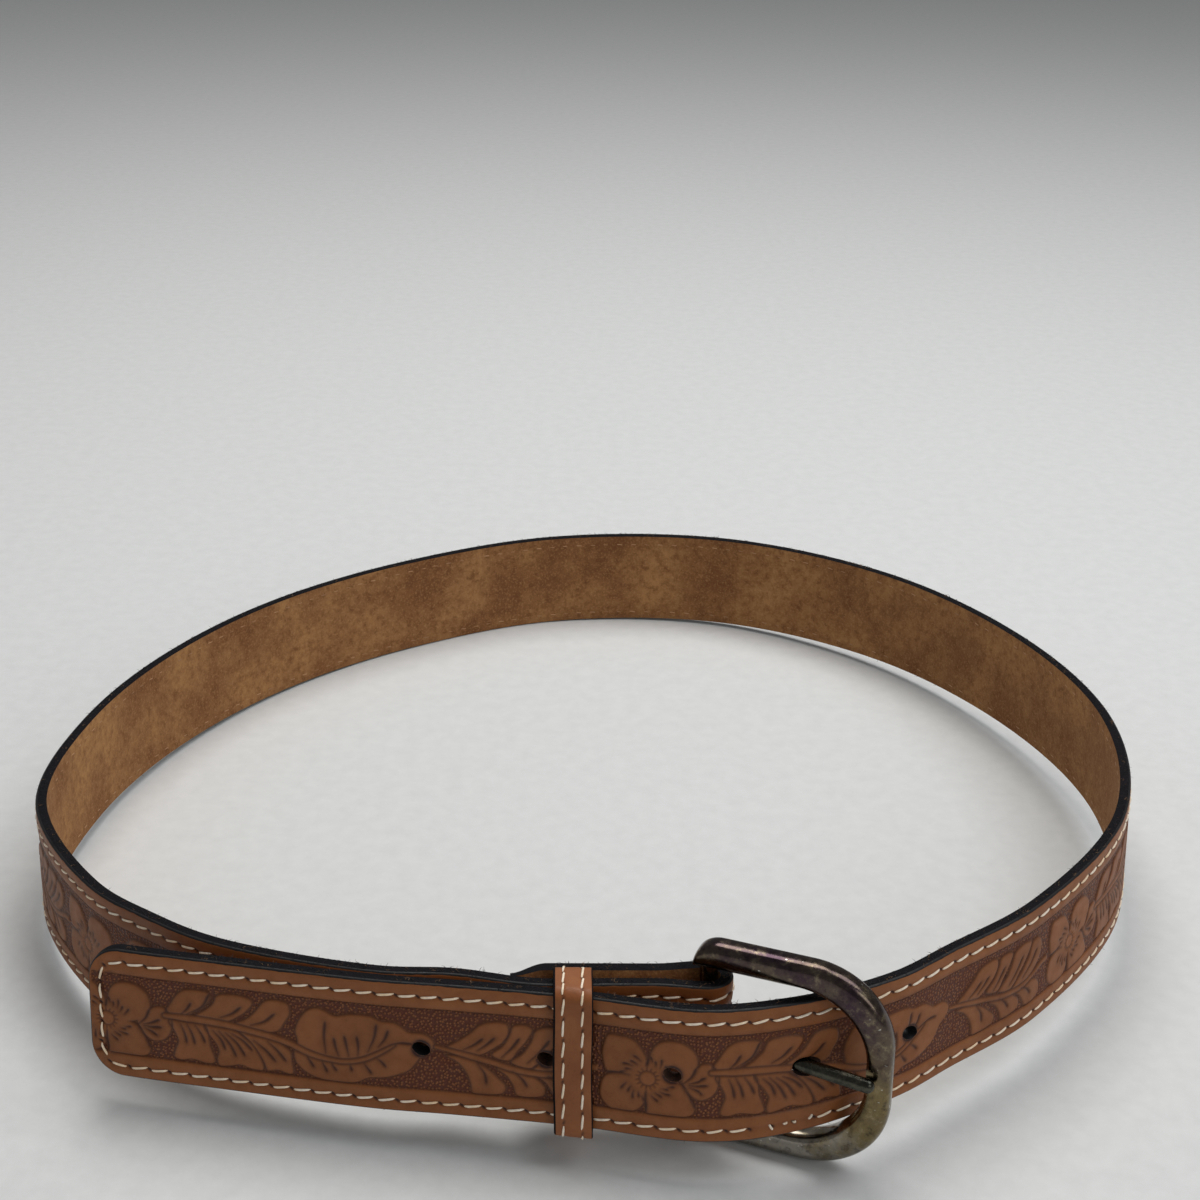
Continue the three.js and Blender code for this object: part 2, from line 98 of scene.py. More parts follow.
# The loop's middle line as shares of half its width and depth, with the gap to the tip's layer
LOOP_STATIONS = [
    (0.556, -0.902, None), (0.721, -0.759, None), (0.932, -0.443, None), (0.999, -0.035, None),
    (0.899, 0.379, None), (0.666, 0.74, None), (0.31, 0.966, None), (-0.096, 0.976, None),
    (-0.445, 0.801, None), (-0.71, 0.555, None), (-0.888, 0.254, None), (-0.981, -0.074, None),
    (-0.982, -0.416, None), (-0.823, -0.706, 22.7), (-0.708, -0.809, 12.8), (-0.586, -0.887, 5.9),
    (-0.332, -0.965, 2.3), (-0.21, -0.973, 3.3),
]

# Sizes that only the looks have
EDGE_ROUNDING = 0.6
PAINT_WRAP = 0.42  # of the edge paint round onto the outer face
FIELD_BOTTOM = 5.8
FIELD_TOP = 25.7
GROUND_DEPTH = 0.42
CUT_DEPTH = 0.3
STITCH_PITCH = 4.85
STITCH_LENGTH = 4.3
THREAD_DIAMETER = 0.54
STITCH_SLANT = math.radians(9)
ROW_BOTTOM = 2.75
ROW_TOP = 28.6
ROW_END = 2.95
FLOWER_RUNS = [-119.6, 4.4, 128.4, 247.9, 371.2, 494.5, 617.8, 741.1, 868.4, 990.4, 1111]
CELL_LENGTH = 122
HOLE_MOUTH = 4.7  # of the punched cone, half a thickness outside the face
HOLE_CLOSING = 0.4
CELL_START = -11
BEAD_PITCH = 0.86
PLATE_STEP = 0.1
FAR = 9.0  # farther than any tool mark reaches
# The strap's four lengths end at these runs, each with its spacing of rings
PIECE_ENDS = (180, 400, 690)
RING_STEPS = (0.28, 0.42, 0.46, 0.48)
FRONT_COLUMN_STEP = 0.27
BACK_COLUMN_STEP = 0.36
CUTTER_DEPTH = 26
PRONG_HOLE_CUTTER = 14
RIVET_SHANK_RADIUS = 1.5
STITCH_SINK = 0.6
KEEPER_STITCH_LENGTH = 4.5
FIBRE_LENGTH = 0.9
FIBRE_DIAMETER = 0.15
UPPER_FIBRES = 5500000.0  # on each square metre, thinned by the tufts' noise
LOWER_FIBRES = 900000.0
# The lower row is worn through by the buckle between these runs, and these loose ends are
# left, as run, height, slant in radians and share of the usual length
WORN_RUNS = (152, 164)
LOOSE_ENDS = [(154.6, 2.5, -1.0, 0.45), (157.8, 2.9, 0.25, 0.3), (159.9, 2.8, 0.05, 0.22),
              (163.6, 3.1, 0.9, 0.4)]

# Places in plan that follow from the sizes
layer_pitch = STRAP_THICKNESS + KEEPER_THICKNESS + 2 * CLEARANCE
main_y = -LOOP_DEPTH / 2
heel = np.array([HEEL_BAR_ACROSS, main_y + layer_pitch / 2])
along_frame = np.array([math.cos(FRAME_YAW), math.sin(FRAME_YAW)])
into_loop = np.array([-along_frame[1], along_frame[0]])
d_bar = heel + FRAME_REACH * along_frame
prong_lift = RAIL_DEPTH / 2 + PRONG_DIAMETER / 2 + CLEARANCE
prong_yaw = FRAME_YAW - math.asin(prong_lift / FRAME_REACH)
along_prong = np.array([math.cos(prong_yaw), math.sin(prong_yaw)])
fold_radius = HEEL_BAR_DIAMETER / 2 + CLEARANCE + STRAP_THICKNESS / 2
keeper_x = heel[0] - KEEPER_TO_HEEL_BAR
tip_y = main_y - STRAP_THICKNESS - KEEPER_SLACK
hole_place = heel + HOLE_REACH * along_prong
used_run = TIP_RUN + HOLES_ON_TIP_SIDE * HOLE_SPACING
rng = np.random.default_rng(12)


# The strap's path in plan
def catmull(points, per_span):
    """A centripetal curve through the points, finely sampled."""
    p = np.vstack([2 * points[0] - points[1], points, 2 * points[-1] - points[-2]])
    spans = []
    for i in range(1, len(p) - 2):
        p0, p1, p2, p3 = p[i - 1 : i + 3]
        d0, d1, d2 = (math.sqrt(np.linalg.norm(b - a)) for a, b in ((p0, p1), (p1, p2), (p2, p3)))
        t1 = ((p1 - p0) / d0 - (p2 - p0) / (d0 + d1) + (p2 - p1) / d1) * d1
        t2 = ((p2 - p1) / d1 - (p3 - p1) / (d1 + d2) + (p3 - p2) / d2) * d1
        t = np.linspace(0, 1, per_span, endpoint=False)[:, None]
        a, b = 3 * (p2 - p1) - 2 * t1 - t2, 2 * (p1 - p2) + t1 + t2
        spans.append(p1 + t1 * t + a * t**2 + b * t**3)
    return np.vstack([*spans, points[-1:]])


def lengths(points):
    return np.concatenate([[0], np.cumsum(np.linalg.norm(np.diff(points, axis=0), axis=1))])


def free_line():
    def place(row):
        return np.array([row[0] * LOOP_WIDTH / 2, row[1] * LOOP_DEPTH / 2])

    over_tip = [place(r) - (0, STRAP_THICKNESS + r[2]) for r in LOOP_STATIONS if r[2] is not None]
    bulge = (heel[0], heel[1] - fold_radius - STRAP_THICKNESS - BULGE_GAP)
    behind = d_bar + into_loop * (RAIL_DEPTH / 2 + D_BAR_GAP + STRAP_THICKNESS / 2)
    stations = [
        *over_tip, (keeper_x, tip_y), bulge, hole_place, behind,
        *[place(r) for r in LOOP_STATIONS],
        (keeper_x - KEEPER_WIDTH, main_y), (heel[0] - RIVET_TO_HEEL_BAR, main_y),
    ]
    return catmull(np.array(stations, float), 80)


def ease(a, b, share):
    return a + (b - a) * (1 - np.cos(np.pi * share)) / 2


def fold_line():
    near = layer_pitch / 2
    s = np.linspace(0, 1, 12)
    angle = np.linspace(-np.pi / 2, np.pi / 2, 40)[1:-1]
    skive = heel[0] - FOLD_BACK_LENGTH + SKIVE_LENGTH
    rest = main_y + (STRAP_THICKNESS + SKIVE_THICKNESS) / 2 + CLEARANCE
    return np.vstack([
        np.stack([heel[0] - FOLD_EASE * (1 - s), heel[1] - ease(near, fold_radius, s)], 1),
        heel + fold_radius * np.stack([np.cos(angle), np.sin(angle)], 1),
        np.stack([heel[0] - FOLD_EASE * s, heel[1] + ease(fold_radius, near, s)], 1),
        [[skive + SKIVE_LENGTH / 2, heel[1] + near]],
        np.stack([skive - SKIVE_LENGTH * s, ease(heel[1] + near, rest, s)], 1),
    ])


def middle_line():
    free = free_line()
    runs = lengths(free)
    start = runs[np.argmin(np.linalg.norm(free - hole_place, axis=1))] - used_run
    tip = [[np.interp(start, runs, free[:, k]) for k in (0, 1)]]
    return np.vstack([tip, free[runs > start + 0.05], fold_line()])


line = middle_line()
line_runs = lengths(line)
total_run = line_runs[-1]
far = line_runs > total_run / 2
keeper_run = line_runs[far][
    np.argmin(np.linalg.norm(line[far] - (keeper_x, main_y), axis=1))
]


def on_line(run):
    """The plan point and forward direction at distances along the strap."""
    ends = [np.clip(run + step, 0, total_run) for step in (0, -0.6, 0.6)]
    p, a, b = (
        np.stack([np.interp(e, line_runs, line[:, k]) for k in (0, 1)], -1) for e in ends
    )
    forward = (b - a) / np.linalg.norm(b - a, axis=-1, keepdims=True)
    return p, forward


def smooth(x, a, b):
    t = np.clip((x - a) / (b - a), 0, 1)
    return t * t * (3 - 2 * t)


def lean_at(run, height):
    p, _ = on_line(run)
    tip = 1 - smooth(run, used_run - HOLE_SPACING / 2, used_run + HOLE_SPACING)
    front = 1 - smooth(p[..., 1], -LOOP_DEPTH / 8, LOOP_DEPTH / 3)
    fade = smooth(keeper_run - run, KEEPER_WIDTH, KEEPER_WIDTH + LEAN_FADE)
    up = height / STRAP_WIDTH
    return TIP_LEAN * tip * (up - 0.5) + LOOP_LEAN * (1 - tip) * front * fade * (up - 1)


def strap_point(run, height, out):
    """Points of the strap from their run, height and distance out from the middle line."""
    p, f = on_line(run)
    side = np.stack([f[..., 1], -f[..., 0]], -1)
    plan = p + side * (out - lean_at(run, height))[..., None]
    return np.concatenate([plan, np.broadcast_to(height, run.shape)[..., None]], -1)


# From the belt's plan to the model: the tilt on the buckle's rail, then the shift
def rest_tilt():
    drop = FRAME_HEIGHT / 2 - STRAP_WIDTH / 2 + FRAME_SAG
    foot = heel + along_frame * (HEEL_CORNER_RADIUS - RAIL_WIDTH / 2)
    foot = foot + into_loop * (RAIL_DEPTH / 2 - RAIL_ROUNDING)
    heading = np.array([math.cos(REST_BEARING), math.sin(REST_BEARING)])
    back = (line @ heading).max() + STRAP_THICKNESS / 2 - EDGE_BEVEL
    tilt = math.atan2(drop, back - foot @ heading)
    return np.array(Matrix.Rotation(tilt, 3, (-heading[1], heading[0], 0)))


tilt = rest_tilt()
rivet_heights = {"fold_rivet_lower": RIVET_INSET, "fold_rivet_upper": STRAP_WIDTH - RIVET_INSET}
rivet_plan = (heel[0] - RIVET_TO_HEEL_BAR, heel[1])
low, high = (np.array(corner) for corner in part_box("fold_rivet_lower"))
shift = (low + high) / 2 - tilt @ np.array([*rivet_plan, RIVET_INSET]) / 1000


def to_model(points):
    return np.asarray(points, float) @ tilt.T / 1000 + shift


def turned(vectors):
    return np.asarray(vectors, float) @ tilt.T


# Meshes
def mesh_object(name, points, faces, materials=(), indices=None, attributes=None, mm=None):
    """A mesh in the model's place, with float or vector attributes and a UV map in millimetres."""
    mesh = bpy.data.meshes.new(name)
    mesh.from_pydata(to_model(points).tolist(), [], faces)
    for m in materials:
        mesh.materials.append(m)
    if indices is not None:
        mesh.polygons.foreach_set("material_index", np.asarray(indices, np.int32))
    for key, values in (attributes or {}).items():
        vector = np.ndim(values) == 2
        layer = mesh.attributes.new(key, "FLOAT_VECTOR" if vector else "FLOAT", "POINT")
        layer.data.foreach_set("vector" if vector else "value", np.ravel(values).astype(np.float32))
    if mm is not None:
        corner = np.zeros(len(mesh.loops), np.int32)
        mesh.loops.foreach_get("vertex_index", corner)
        uv = mesh.uv_layers.new(name="strap_mm")
        uv.uv.foreach_set("vector", np.asarray(mm, np.float32)[corner].ravel())
    mesh.polygons.foreach_set("use_smooth", np.ones(len(mesh.polygons), bool))
    mesh.update()
    made = bpy.data.objects.new(name, mesh)
    bpy.context.scene.collection.objects.link(made)
    return made


def ring_faces(rings, around, close_along=False, caps=True):
    """Quads of a tube of rings, numbered ring by ring, with an n-gon at each open end."""
    along = np.arange(rings if close_along else rings - 1)
    here, place = np.meshgrid(along, np.arange(around), indexing="ij")
    there, beside = (here + 1) % rings, (place + 1) % around
    corners = [(here, place), (there, place), (there, beside), (here, beside)]
    quads = np.stack([i * around + j for i, j in corners], -1)
    faces = quads.reshape(-1, 4).tolist()
    if caps and not close_along:
        faces.append(list(range(around)))
        faces.append(list(range(rings * around - 1, (rings - 1) * around - 1, -1)))
    return faces


def settle(made):
    """Turns what an object's modifiers make into its plain mesh."""
    graph = bpy.context.evaluated_depsgraph_get()
    mesh = bpy.data.meshes.new_from_object(
        made.evaluated_get(graph), preserve_all_data_layers=True, depsgraph=graph
    )
    old = made.data
    made.modifiers.clear()
    made.data = mesh
    bpy.data.meshes.remove(old)
    return made


def cut_with(made, cutter, operation="DIFFERENCE"):
    change = made.modifiers.new("cut", "BOOLEAN")
    change.operation = operation
    change.solver = "MANIFOLD"
    change.object = cutter
    settle(made)
    bpy.data.objects.remove(cutter)
    return made


def crease(made, degrees):
    made.data.polygons.foreach_set("use_smooth", np.ones(len(made.data.polygons), bool))
    made.data.set_sharp_from_angle(angle=math.radians(degrees))
    return made


# Materials
def colour(code):
    """An sRGB hex value as linear red, green, blue and alpha."""
    parts = [int(code[k : k + 2], 16) / 255 for k in (1, 3, 5)]
    return (*[c / 12.92 if c <= 0.04045 else ((c + 0.055) / 1.055) ** 2.4 for c in parts], 1)


def node(tree, kind, inputs=None, **settings):
    """Adds a node with its settings, and links or sets its inputs."""
    made = tree.nodes.new(kind)
    for key, value in settings.items():
        setattr(made, key, value)
    for key, value in (inputs or {}).items():
        if isinstance(value, bpy.types.NodeSocket):
            tree.links.new(value, made.inputs[key])
        else:
            made.inputs[key].default_value = value
    return made


def material(name, **shader_settings):
    made = bpy.data.materials.new(name)
    made.use_nodes = True
    tree = made.node_tree
    shader = tree.nodes["Principled BSDF"]
    for key, value in shader_settings.items():
        shader.inputs[key.replace("_", " ")].default_value = value
    return made, tree, shader


def blended(tree, factor, a, b):
    return node(tree, "ShaderNodeMix", {0: factor, 6: a, 7: b}, data_type="RGBA").outputs[2]


def ranged(tree, value, low, high, to_low=0.0, to_high=1.0):
    span = {"Value": value, "From Min": low, "From Max": high, "To Min": to_low, "To Max": to_high}
    return node(tree, "ShaderNodeMapRange", span).outputs[0]


def metres_noise(tree, size_mm, detail=3.0, rough=0.55):
    """Noise on object coordinates with features of a real size."""
    place = node(tree, "ShaderNodeTexCoord").outputs["Object"]
    look = {"Vector": place, "Scale": 1000 / size_mm, "Detail": detail, "Roughness": rough}
    return node(tree, "ShaderNodeTexNoise", look).outputs["Fac"]


def stained(tree, base, *layers):
    """Lays colours over a base one by one, each where its source lies in the span given."""
    for source, code, *span in layers:
        base = blended(tree, ranged(tree, source, *span), base, colour(code))
    return base


def finish(tree, shader, base, rough=None, bumps=()):
    """Links a surface's colour, roughness and bumps, each bump laid over the one before it."""
    tree.links.new(base, shader.inputs["Base Color"])
    if rough is not None:
        tree.links.new(rough, shader.inputs["Roughness"])
    normal = {}
    for strength, depth_mm, height in bumps:
        press = {"Strength": strength, "Distance": depth_mm / 1000, "Height": height, **normal}
        normal = {"Normal": node(tree, "ShaderNodeBump", press).outputs[0]}
    if normal:
        tree.links.new(normal["Normal"], shader.inputs["Normal"])


def written(tree, key):
    """What the mesh carries at each point under a name."""
    return node(tree, "ShaderNodeAttribute", attribute_name=key)


# Vegetable-tanned cowhide, tooled and antiqued: warm tan, satin, the paste darker in each cut, a
# painted highlight on each bead of the ground, and painted shade in the needle holes and round the
# punched holes
def tooled_leather():
    made, tree, shader = material("veg_tanned_tooled_leather", Specular_IOR_Level=0.35)
    mm = node(tree, "ShaderNodeUVMap", uv_map="strap_mm").outputs["UV"]
    tone, cut, edge = (written(tree, key).outputs["Fac"] for key in ("tone", "cut", "edge_mm"))
    blotch = metres_noise(tree, 22, 3)
    fleck = metres_noise(tree, 3.2, 4)
    pores = metres_noise(tree, 0.5, 2)
    # The matting tool leaves its beads in uneven rows on the ground
    beads = node(
        tree, "ShaderNodeTexVoronoi",
        {"Vector": mm, "Scale": 1 / BEAD_PITCH, "Randomness": 0.75, "Smoothness": 0.25},
        voronoi_dimensions="2D", feature="SMOOTH_F1",
    )
    bead_bump_and_highlight = ranged(tree, beads.outputs["Distance"], 0.44, 0.12)
    face = stained(
        tree, colour("#955a2e"), (blotch, "#875027", 0.35, 0.65),
        (fleck, "#74411e", 0.42, 0.75, 0, 0.45), (pores, "#683817", 0.55, 0.8, 0, 0.35),
    )
    # Painted highlight: each bead's top is painted lighter than the dark ground round it, and the
    # same beads also bump the ground
    ground = blended(tree, bead_bump_and_highlight, colour("#55260f"), colour("#945c36"))
    ground = stained(tree, ground, (fleck, "#652d13", 0.4, 0.75, 0, 0.4))
    both = blended(tree, tone, face, ground)
    both = blended(tree, cut, both, colour("#391709"))
    rubbed = node(
        tree, "ShaderNodeMath", {0: fleck, 1: 0.5, 2: edge}, operation="MULTIPLY_ADD"
    ).outputs[0]
    # Painted shade: near black where cut passes 1, which is in the needle holes and round the
    # punched holes' mouths; then the edge paint
    both = stained(
        tree, both, (cut, "#0f0604", 1.0, 1.7),
        (rubbed, "#0b0a0e", 0.25 + PAINT_WRAP, 0.15 + PAINT_WRAP),
    )
    rough = ranged(tree, fleck, 0.3, 0.7, 0.46, 0.6)
    relief = node(tree, "ShaderNodeMath", {0: bead_bump_and_highlight, 1: tone}, operation="MULTIPLY").outputs[0]
    finish(tree, shader, both, rough, [(0.5, 0.08, pores), (1.0, 0.26, relief)])
    return made


# The rough flesh side: napped fibres, dull, mottled golden brown
def flesh_side():
    made, tree, shader = material(
        "flesh_side_leather", Roughness=0.95, Sheen_Weight=0.25, Sheen_Roughness=0.6,
        Sheen_Tint=colour("#c89a68"), Specular_IOR_Level=0.25,
    )
    patches = metres_noise(tree, 26, 4, 0.6)
    nap = metres_noise(tree, 2.6, 6, 0.7)
    hairs = metres_noise(tree, 0.7, 3)
    base = stained(
        tree, colour("#7f5433"), (patches, "#aa7c4e", 0.38, 0.62),
        (nap, "#6a4022", 0.42, 0.66, 0, 0.75), (hairs, "#b78b5c", 0.5, 0.72, 0, 0.5),
    )
    finish(tree, shader, base, None, [(0.8, 0.6, nap), (0.6, 0.15, hairs)])
    return made


# Edge paint: blue-black, slightly glossy, rubbed thin in places
def edge_paint():
    made, tree, shader = material("blue_black_edge_paint", Specular_IOR_Level=0.15)
    wear = metres_noise(tree, 1.6, 5, 0.7)
    base = stained(tree, colour("#08070c"), (wear, "#211b1f", 0.5, 0.8))
    finish(tree, shader, base, ranged(tree, wear, 0.3, 0.7, 0.65, 0.9), [(1.0, 0.3, wear)])
    return made


# Waxed polyester thread: two plies, softly glossy, with painted shade in the grooves between the
# plies
def waxed_thread(name, clean, soiled):
    made, tree, shader = material(name, Roughness=0.55)
    lay = node(
        tree, "ShaderNodeTexWave",
        {"Vector": written(tree, "thread_mm").outputs["Vector"], "Scale": 0.32, "Distortion": 0.4},
        wave_type="BANDS", bands_direction="DIAGONAL",
    ).outputs["Fac"]
    soil = metres_noise(tree, 9, 3)
    # Painted shade: a little darker in the grooves between the plies
    base = stained(
        tree, colour(clean), (soil, soiled, 0.4, 0.7), (lay, "#b98a5c", 0.0, 0.6, 0.12, 0)
    )
    finish(tree, shader, base, None, [(0.6, 0.1, lay)])
    return made


# Plain vegetable-tanned strip of the keeper, with painted shade in its needle holes
def keeper_leather():
    made, tree, shader = material("veg_tanned_keeper_leather", Specular_IOR_Level=0.35)
    blotch = metres_noise(tree, 9, 4)
    pores = metres_noise(tree, 0.6, 3)
    base = stained(
        tree, colour("#94592f"), (blotch, "#7f4824", 0.35, 0.7),
        (pores, "#5f3720", 0.55, 0.8, 0, 0.4),
    )
    # Painted shade in the needle holes
    base = blended(tree, written(tree, "cut").outputs["Fac"], base, colour("#2e1409"))
    finish(tree, shader, base, ranged(tree, blotch, 0.3, 0.7, 0.42, 0.6), [(0.35, 0.12, pores)])
    return made


# Antiqued nickel over brass: dark violet-brown above, worn to yellow at the side and grey below
def antiqued_nickel():
    made, tree, shader = material("antiqued_nickel_worn_to_brass", Metallic=1.0)
    place = node(tree, "ShaderNodeTexCoord").outputs["Object"]
    height = node(tree, "ShaderNodeSeparateXYZ", {0: place}).outputs["Z"]
    clouds = metres_noise(tree, 8, 4, 0.6)
    rubs = metres_noise(tree, 2.4, 6, 0.7)
    specks = metres_noise(tree, 1.1, 2, 0.4)
    ragged = node(
        tree, "ShaderNodeMath", {0: clouds, 1: 0.05, 2: height}, operation="MULTIPLY_ADD"
    ).outputs[0]
    base = stained(
        tree, colour("#43363d"), (clouds, "#5f5449", 0.4, 0.65),
        (ragged, "#77694a", 0.064, 0.046), (ragged, "#918b82", 0.043, 0.031),
        (rubs, "#b3a684", 0.52, 0.75, 0, 0.5), (rubs, "#2b2227", 0.47, 0.3, 0, 0.75),
        (specks, "#d9d6cc", 0.72, 0.78, 0, 0.8),
    )
    finish(tree, shader, base, ranged(tree, rubs, 0.3, 0.7, 0.12, 0.3), [(0.1, 0.1, rubs)])
    return made


# Drawn nickel wire of the prong, almost black, and the rivets' plain nickel
def drawn_nickel(name, clean, dull, rough):
    made, tree, shader = material(name, Metallic=1.0)
    rubs = metres_noise(tree, 1.8, 5, 0.65)
    base = stained(tree, colour(clean), (rubs, dull, 0.4, 0.65))
    finish(tree, shader, base, ranged(tree, rubs, 0.3, 0.7, rough, rough + 0.14))
    return made


# Three plain finishes of one noise between two colours: loose leather fibres at the painted
# edges, the almost black wall of a punched hole, and the matt board underneath
def plain_finish(name, roughness, noise, clean, layer, bumps=()):
    made, tree, shader = material(name, Roughness=roughness)
    base = stained(tree, colour(clean), (metres_noise(tree, *noise), *layer))
    finish(tree, shader, base, None, [(s, depth, metres_noise(tree, *n)) for s, depth, n in bumps])
    return made


grain = tooled_leather()
flesh = flesh_side()
paint = edge_paint()
thread = waxed_thread("waxed_cream_thread", "#fff3df", "#f8dcb4")
rubbed_thread = waxed_thread("rubbed_tan_thread", "#b98c60", "#8f653f")
keeper_hide = keeper_leather()
fibre = plain_finish("loose_leather_fibre", 0.8, (2, 2), "#17131a", ("#7d6046", 0.57, 0.66))
hole_wall = plain_finish(
    "almost_black_punched_leather", 0.8, (0.8, 3), "#2b170d", ("#4d2c19", 0.35, 0.7)
)
board_white = plain_finish(
    "matt_white_board", 0.75, (5, 4, 0.6), "#dbdddc", ("#d5d7d6", 0.35, 0.7),
    [(0.12, 0.2, (0.9, 2))],
)
frame_metal = antiqued_nickel()
prong_metal = drawn_nickel("dark_drawn_nickel", "#3a3a35", "#555348", 0.2)
rivet_metal = drawn_nickel("plain_nickel", "#a39e94", "#8d8880", 0.28)


# The tooling plate: one repeat of the traditional flower, leaf sprays and large leaf. Outlines
# are in millimetres from the flower's middle along the strap, and in height on the strap.
PETALS = [
    [(-0.3, 18.7), (-1.4, 21.1), (-3.4, 23.3), (-6.5, 23.9), (-9.1, 23.7), (-9.9, 21.7),
     (-10.3, 19.6), (-10, 17.1), (-9.1, 14.9), (-5.9, 14.2), (-0.5, 14.4)],
    [(0, 18.7), (0.4, 21.1), (1.9, 23.3), (4.7, 24.1), (7.5, 23.6), (9.7, 21.9), (10.5, 19.6),
     (10, 17.4), (8.8, 15.5), (5, 14.2), (-0.5, 14.4)],
    [(7, 14.6), (9.4, 17.2), (11.3, 18.9), (13.2, 19.1), (14.7, 17.7), (15.4, 15.2), (15, 12.7),
     (13.5, 10.8), (11, 10.1), (9.1, 11.1), (8, 12.9)],
    [(-0.5, 14.4), (5, 14.6), (8.2, 12.7), (9.2, 9.9), (10.2, 8.3), (9.4, 6.4), (6.6, 5.6),
     (2.9, 5.5), (-0.2, 6), (-0.3, 9.3), (-0.4, 11.8)],
    [(-0.5, 14.6), (-0.5, 9.9), (-0.7, 8), (-2.2, 6.2), (-5.3, 5.4), (-8.4, 6.1), (-10.3, 8.3),
     (-10.5, 11.1), (-9.3, 13.9), (-5.9, 14.8)],
]
LOBES = [
    [(13.9, 18), (15.2, 20.5), (16.9, 23), (18.6, 24.1), (21.7, 24.4), (24.4, 23.9), (24.7, 22.7),
     (23.3, 20.5), (21.1, 18.9), (19.2, 17.6), (16.7, 17.4)],
    [(20.5, 17.6), (23, 19.6), (24.9, 21.4), (26.1, 23.6), (28.6, 24.3), (31.7, 24.3), (33.9, 23.7),
     (34.4, 22.7), (33, 20.5), (31.1, 18.9), (28.6, 17.4), (24.9, 17.2)],
    [(29.9, 17.2), (32.4, 18.6), (34.5, 20.5), (36.1, 22.7), (37.4, 23.9), (40.5, 24.3),
     (42.5, 23.6), (42.9, 21.1), (41.7, 18.9), (40.2, 16.6), (37.4, 15.9), (33.6, 16.5)],
    [(14.6, 16), (18.6, 16), (23, 15.8), (23.9, 13.6), (24.2, 11.1), (25.2, 8), (25.3, 6.7),
     (23.6, 6.1), (19.9, 6.7), (17, 6.2), (15.5, 6.9), (15.8, 8.6), (16.6, 11.1), (15.8, 13.3)],
    [(22.9, 16), (27.4, 15.8), (31.1, 15), (33.6, 13), (35.4, 10.5), (36.7, 7.4), (36.4, 6.2),
     (33.6, 6.2), (31.1, 6.8), (28.6, 6.2), (26.1, 6), (25.6, 7.7), (26.1, 9.9), (25.2, 11.8),
     (23.9, 13.6)],
    [(31, 15.2), (34.9, 15), (38.6, 14.4), (41.4, 13.2), (43, 11.8), (43.3, 9.3), (43.6, 6.8),
     (43, 6.1), (39.9, 6.7), (37.4, 6.3), (36.7, 8), (35.6, 10.2), (33.9, 12.7)],
    [(43.9, 17.4), (45, 20.5), (46.7, 22.7), (48.9, 23.6), (50.8, 23.2), (53, 22.2), (56.1, 22.9),
     (59.2, 23.1), (61.4, 22.9), (63.3, 22.1), (66.4, 21.9), (68.3, 20.8), (69.5, 19.9),
     (72.7, 19.7), (74.5, 18.6), (75.2, 17), (74.2, 15.2), (72, 13.6), (71.1, 12.1), (69.5, 10.2),
     (67.4, 9.1), (64.2, 8), (60.5, 7.5), (58.6, 6.4), (56.1, 5.7), (51.7, 5.6), (48, 6.4),
     (45.2, 8), (43.8, 9.9), (43.6, 12.4), (44.4, 14.6)],
    [(77.4, 16.4), (80.2, 18.6), (83, 20.8), (84.8, 22.7), (86.9, 23.7), (91, 23.7), (91.5, 21.6),
     (90.2, 19), (88, 17.1), (85.2, 15.4), (81, 15.2)],
    [(87.6, 15.8), (90.2, 18.4), (91.6, 21.2), (92.3, 23.3), (95.2, 23.8), (96.7, 22.9),
     (95.6, 20.1), (93.8, 17.6), (91.6, 14.6)],
    [(91.8, 14.4), (94.5, 16.9), (96.2, 19.8), (97.4, 22.8), (100.9, 23.9), (103.8, 23.2),
     (102.3, 19.8), (99.5, 16.4), (96.6, 13.3)],
    [(96.8, 13.3), (100.2, 16.2), (102.7, 19.4), (104.2, 22.8), (106.7, 23.2), (108.2, 21.4),
     (108.1, 18.7), (106.6, 16.2), (103.7, 13.8), (100.2, 12.6)],
    [(77.4, 14.8), (80.2, 13.2), (82, 10.9), (83, 8.4), (83.5, 6), (87.3, 5.8), (90.5, 6.6),
     (91, 8.4), (88.9, 10.7), (86.2, 12.9), (82, 14.6)],
    [(88.6, 12.6), (90.9, 10.9), (92.3, 8.7), (93.2, 6.4), (96.6, 6.1), (99.5, 7), (99.7, 9.1),
     (97.4, 11.2), (93.7, 12.6)],
    [(97, 12.2), (99.5, 10.1), (100.9, 8), (101.9, 6.2), (105.2, 6), (107.6, 7.1), (107.9, 9.8),
     (106, 12), (102, 12.4)],
]
# Raised stems with their width at each point
STEMS = [
    [(13.7, 17, 1.2), (18.6, 16.95, 1.7), (23.6, 16.85, 1.8), (28.6, 16.5, 1.7), (33.6, 15.8, 1.6),
     (38.6, 15, 1.6), (42.4, 14, 1.6), (47.4, 12.05, 1.5), (51.1, 11.3, 1.3), (55.2, 11.1, 1.2),
     (59.2, 12.05, 1.2), (62.4, 13.75, 1.1), (64.9, 15.4, 0.9), (66.4, 16.4, 0.5)],
    [(75.4, 16.6, 0.9), (79, 15.9, 1.2), (83.5, 14.9, 1.5), (88, 13.9, 1.5), (92.3, 12.8, 1.5),
     (96.6, 12.2, 1.5), (100.9, 12.3, 1.5), (105.2, 13.6, 1.5), (108.7, 15, 1.6),
     (112.5, 15.3, 1.9)],
]
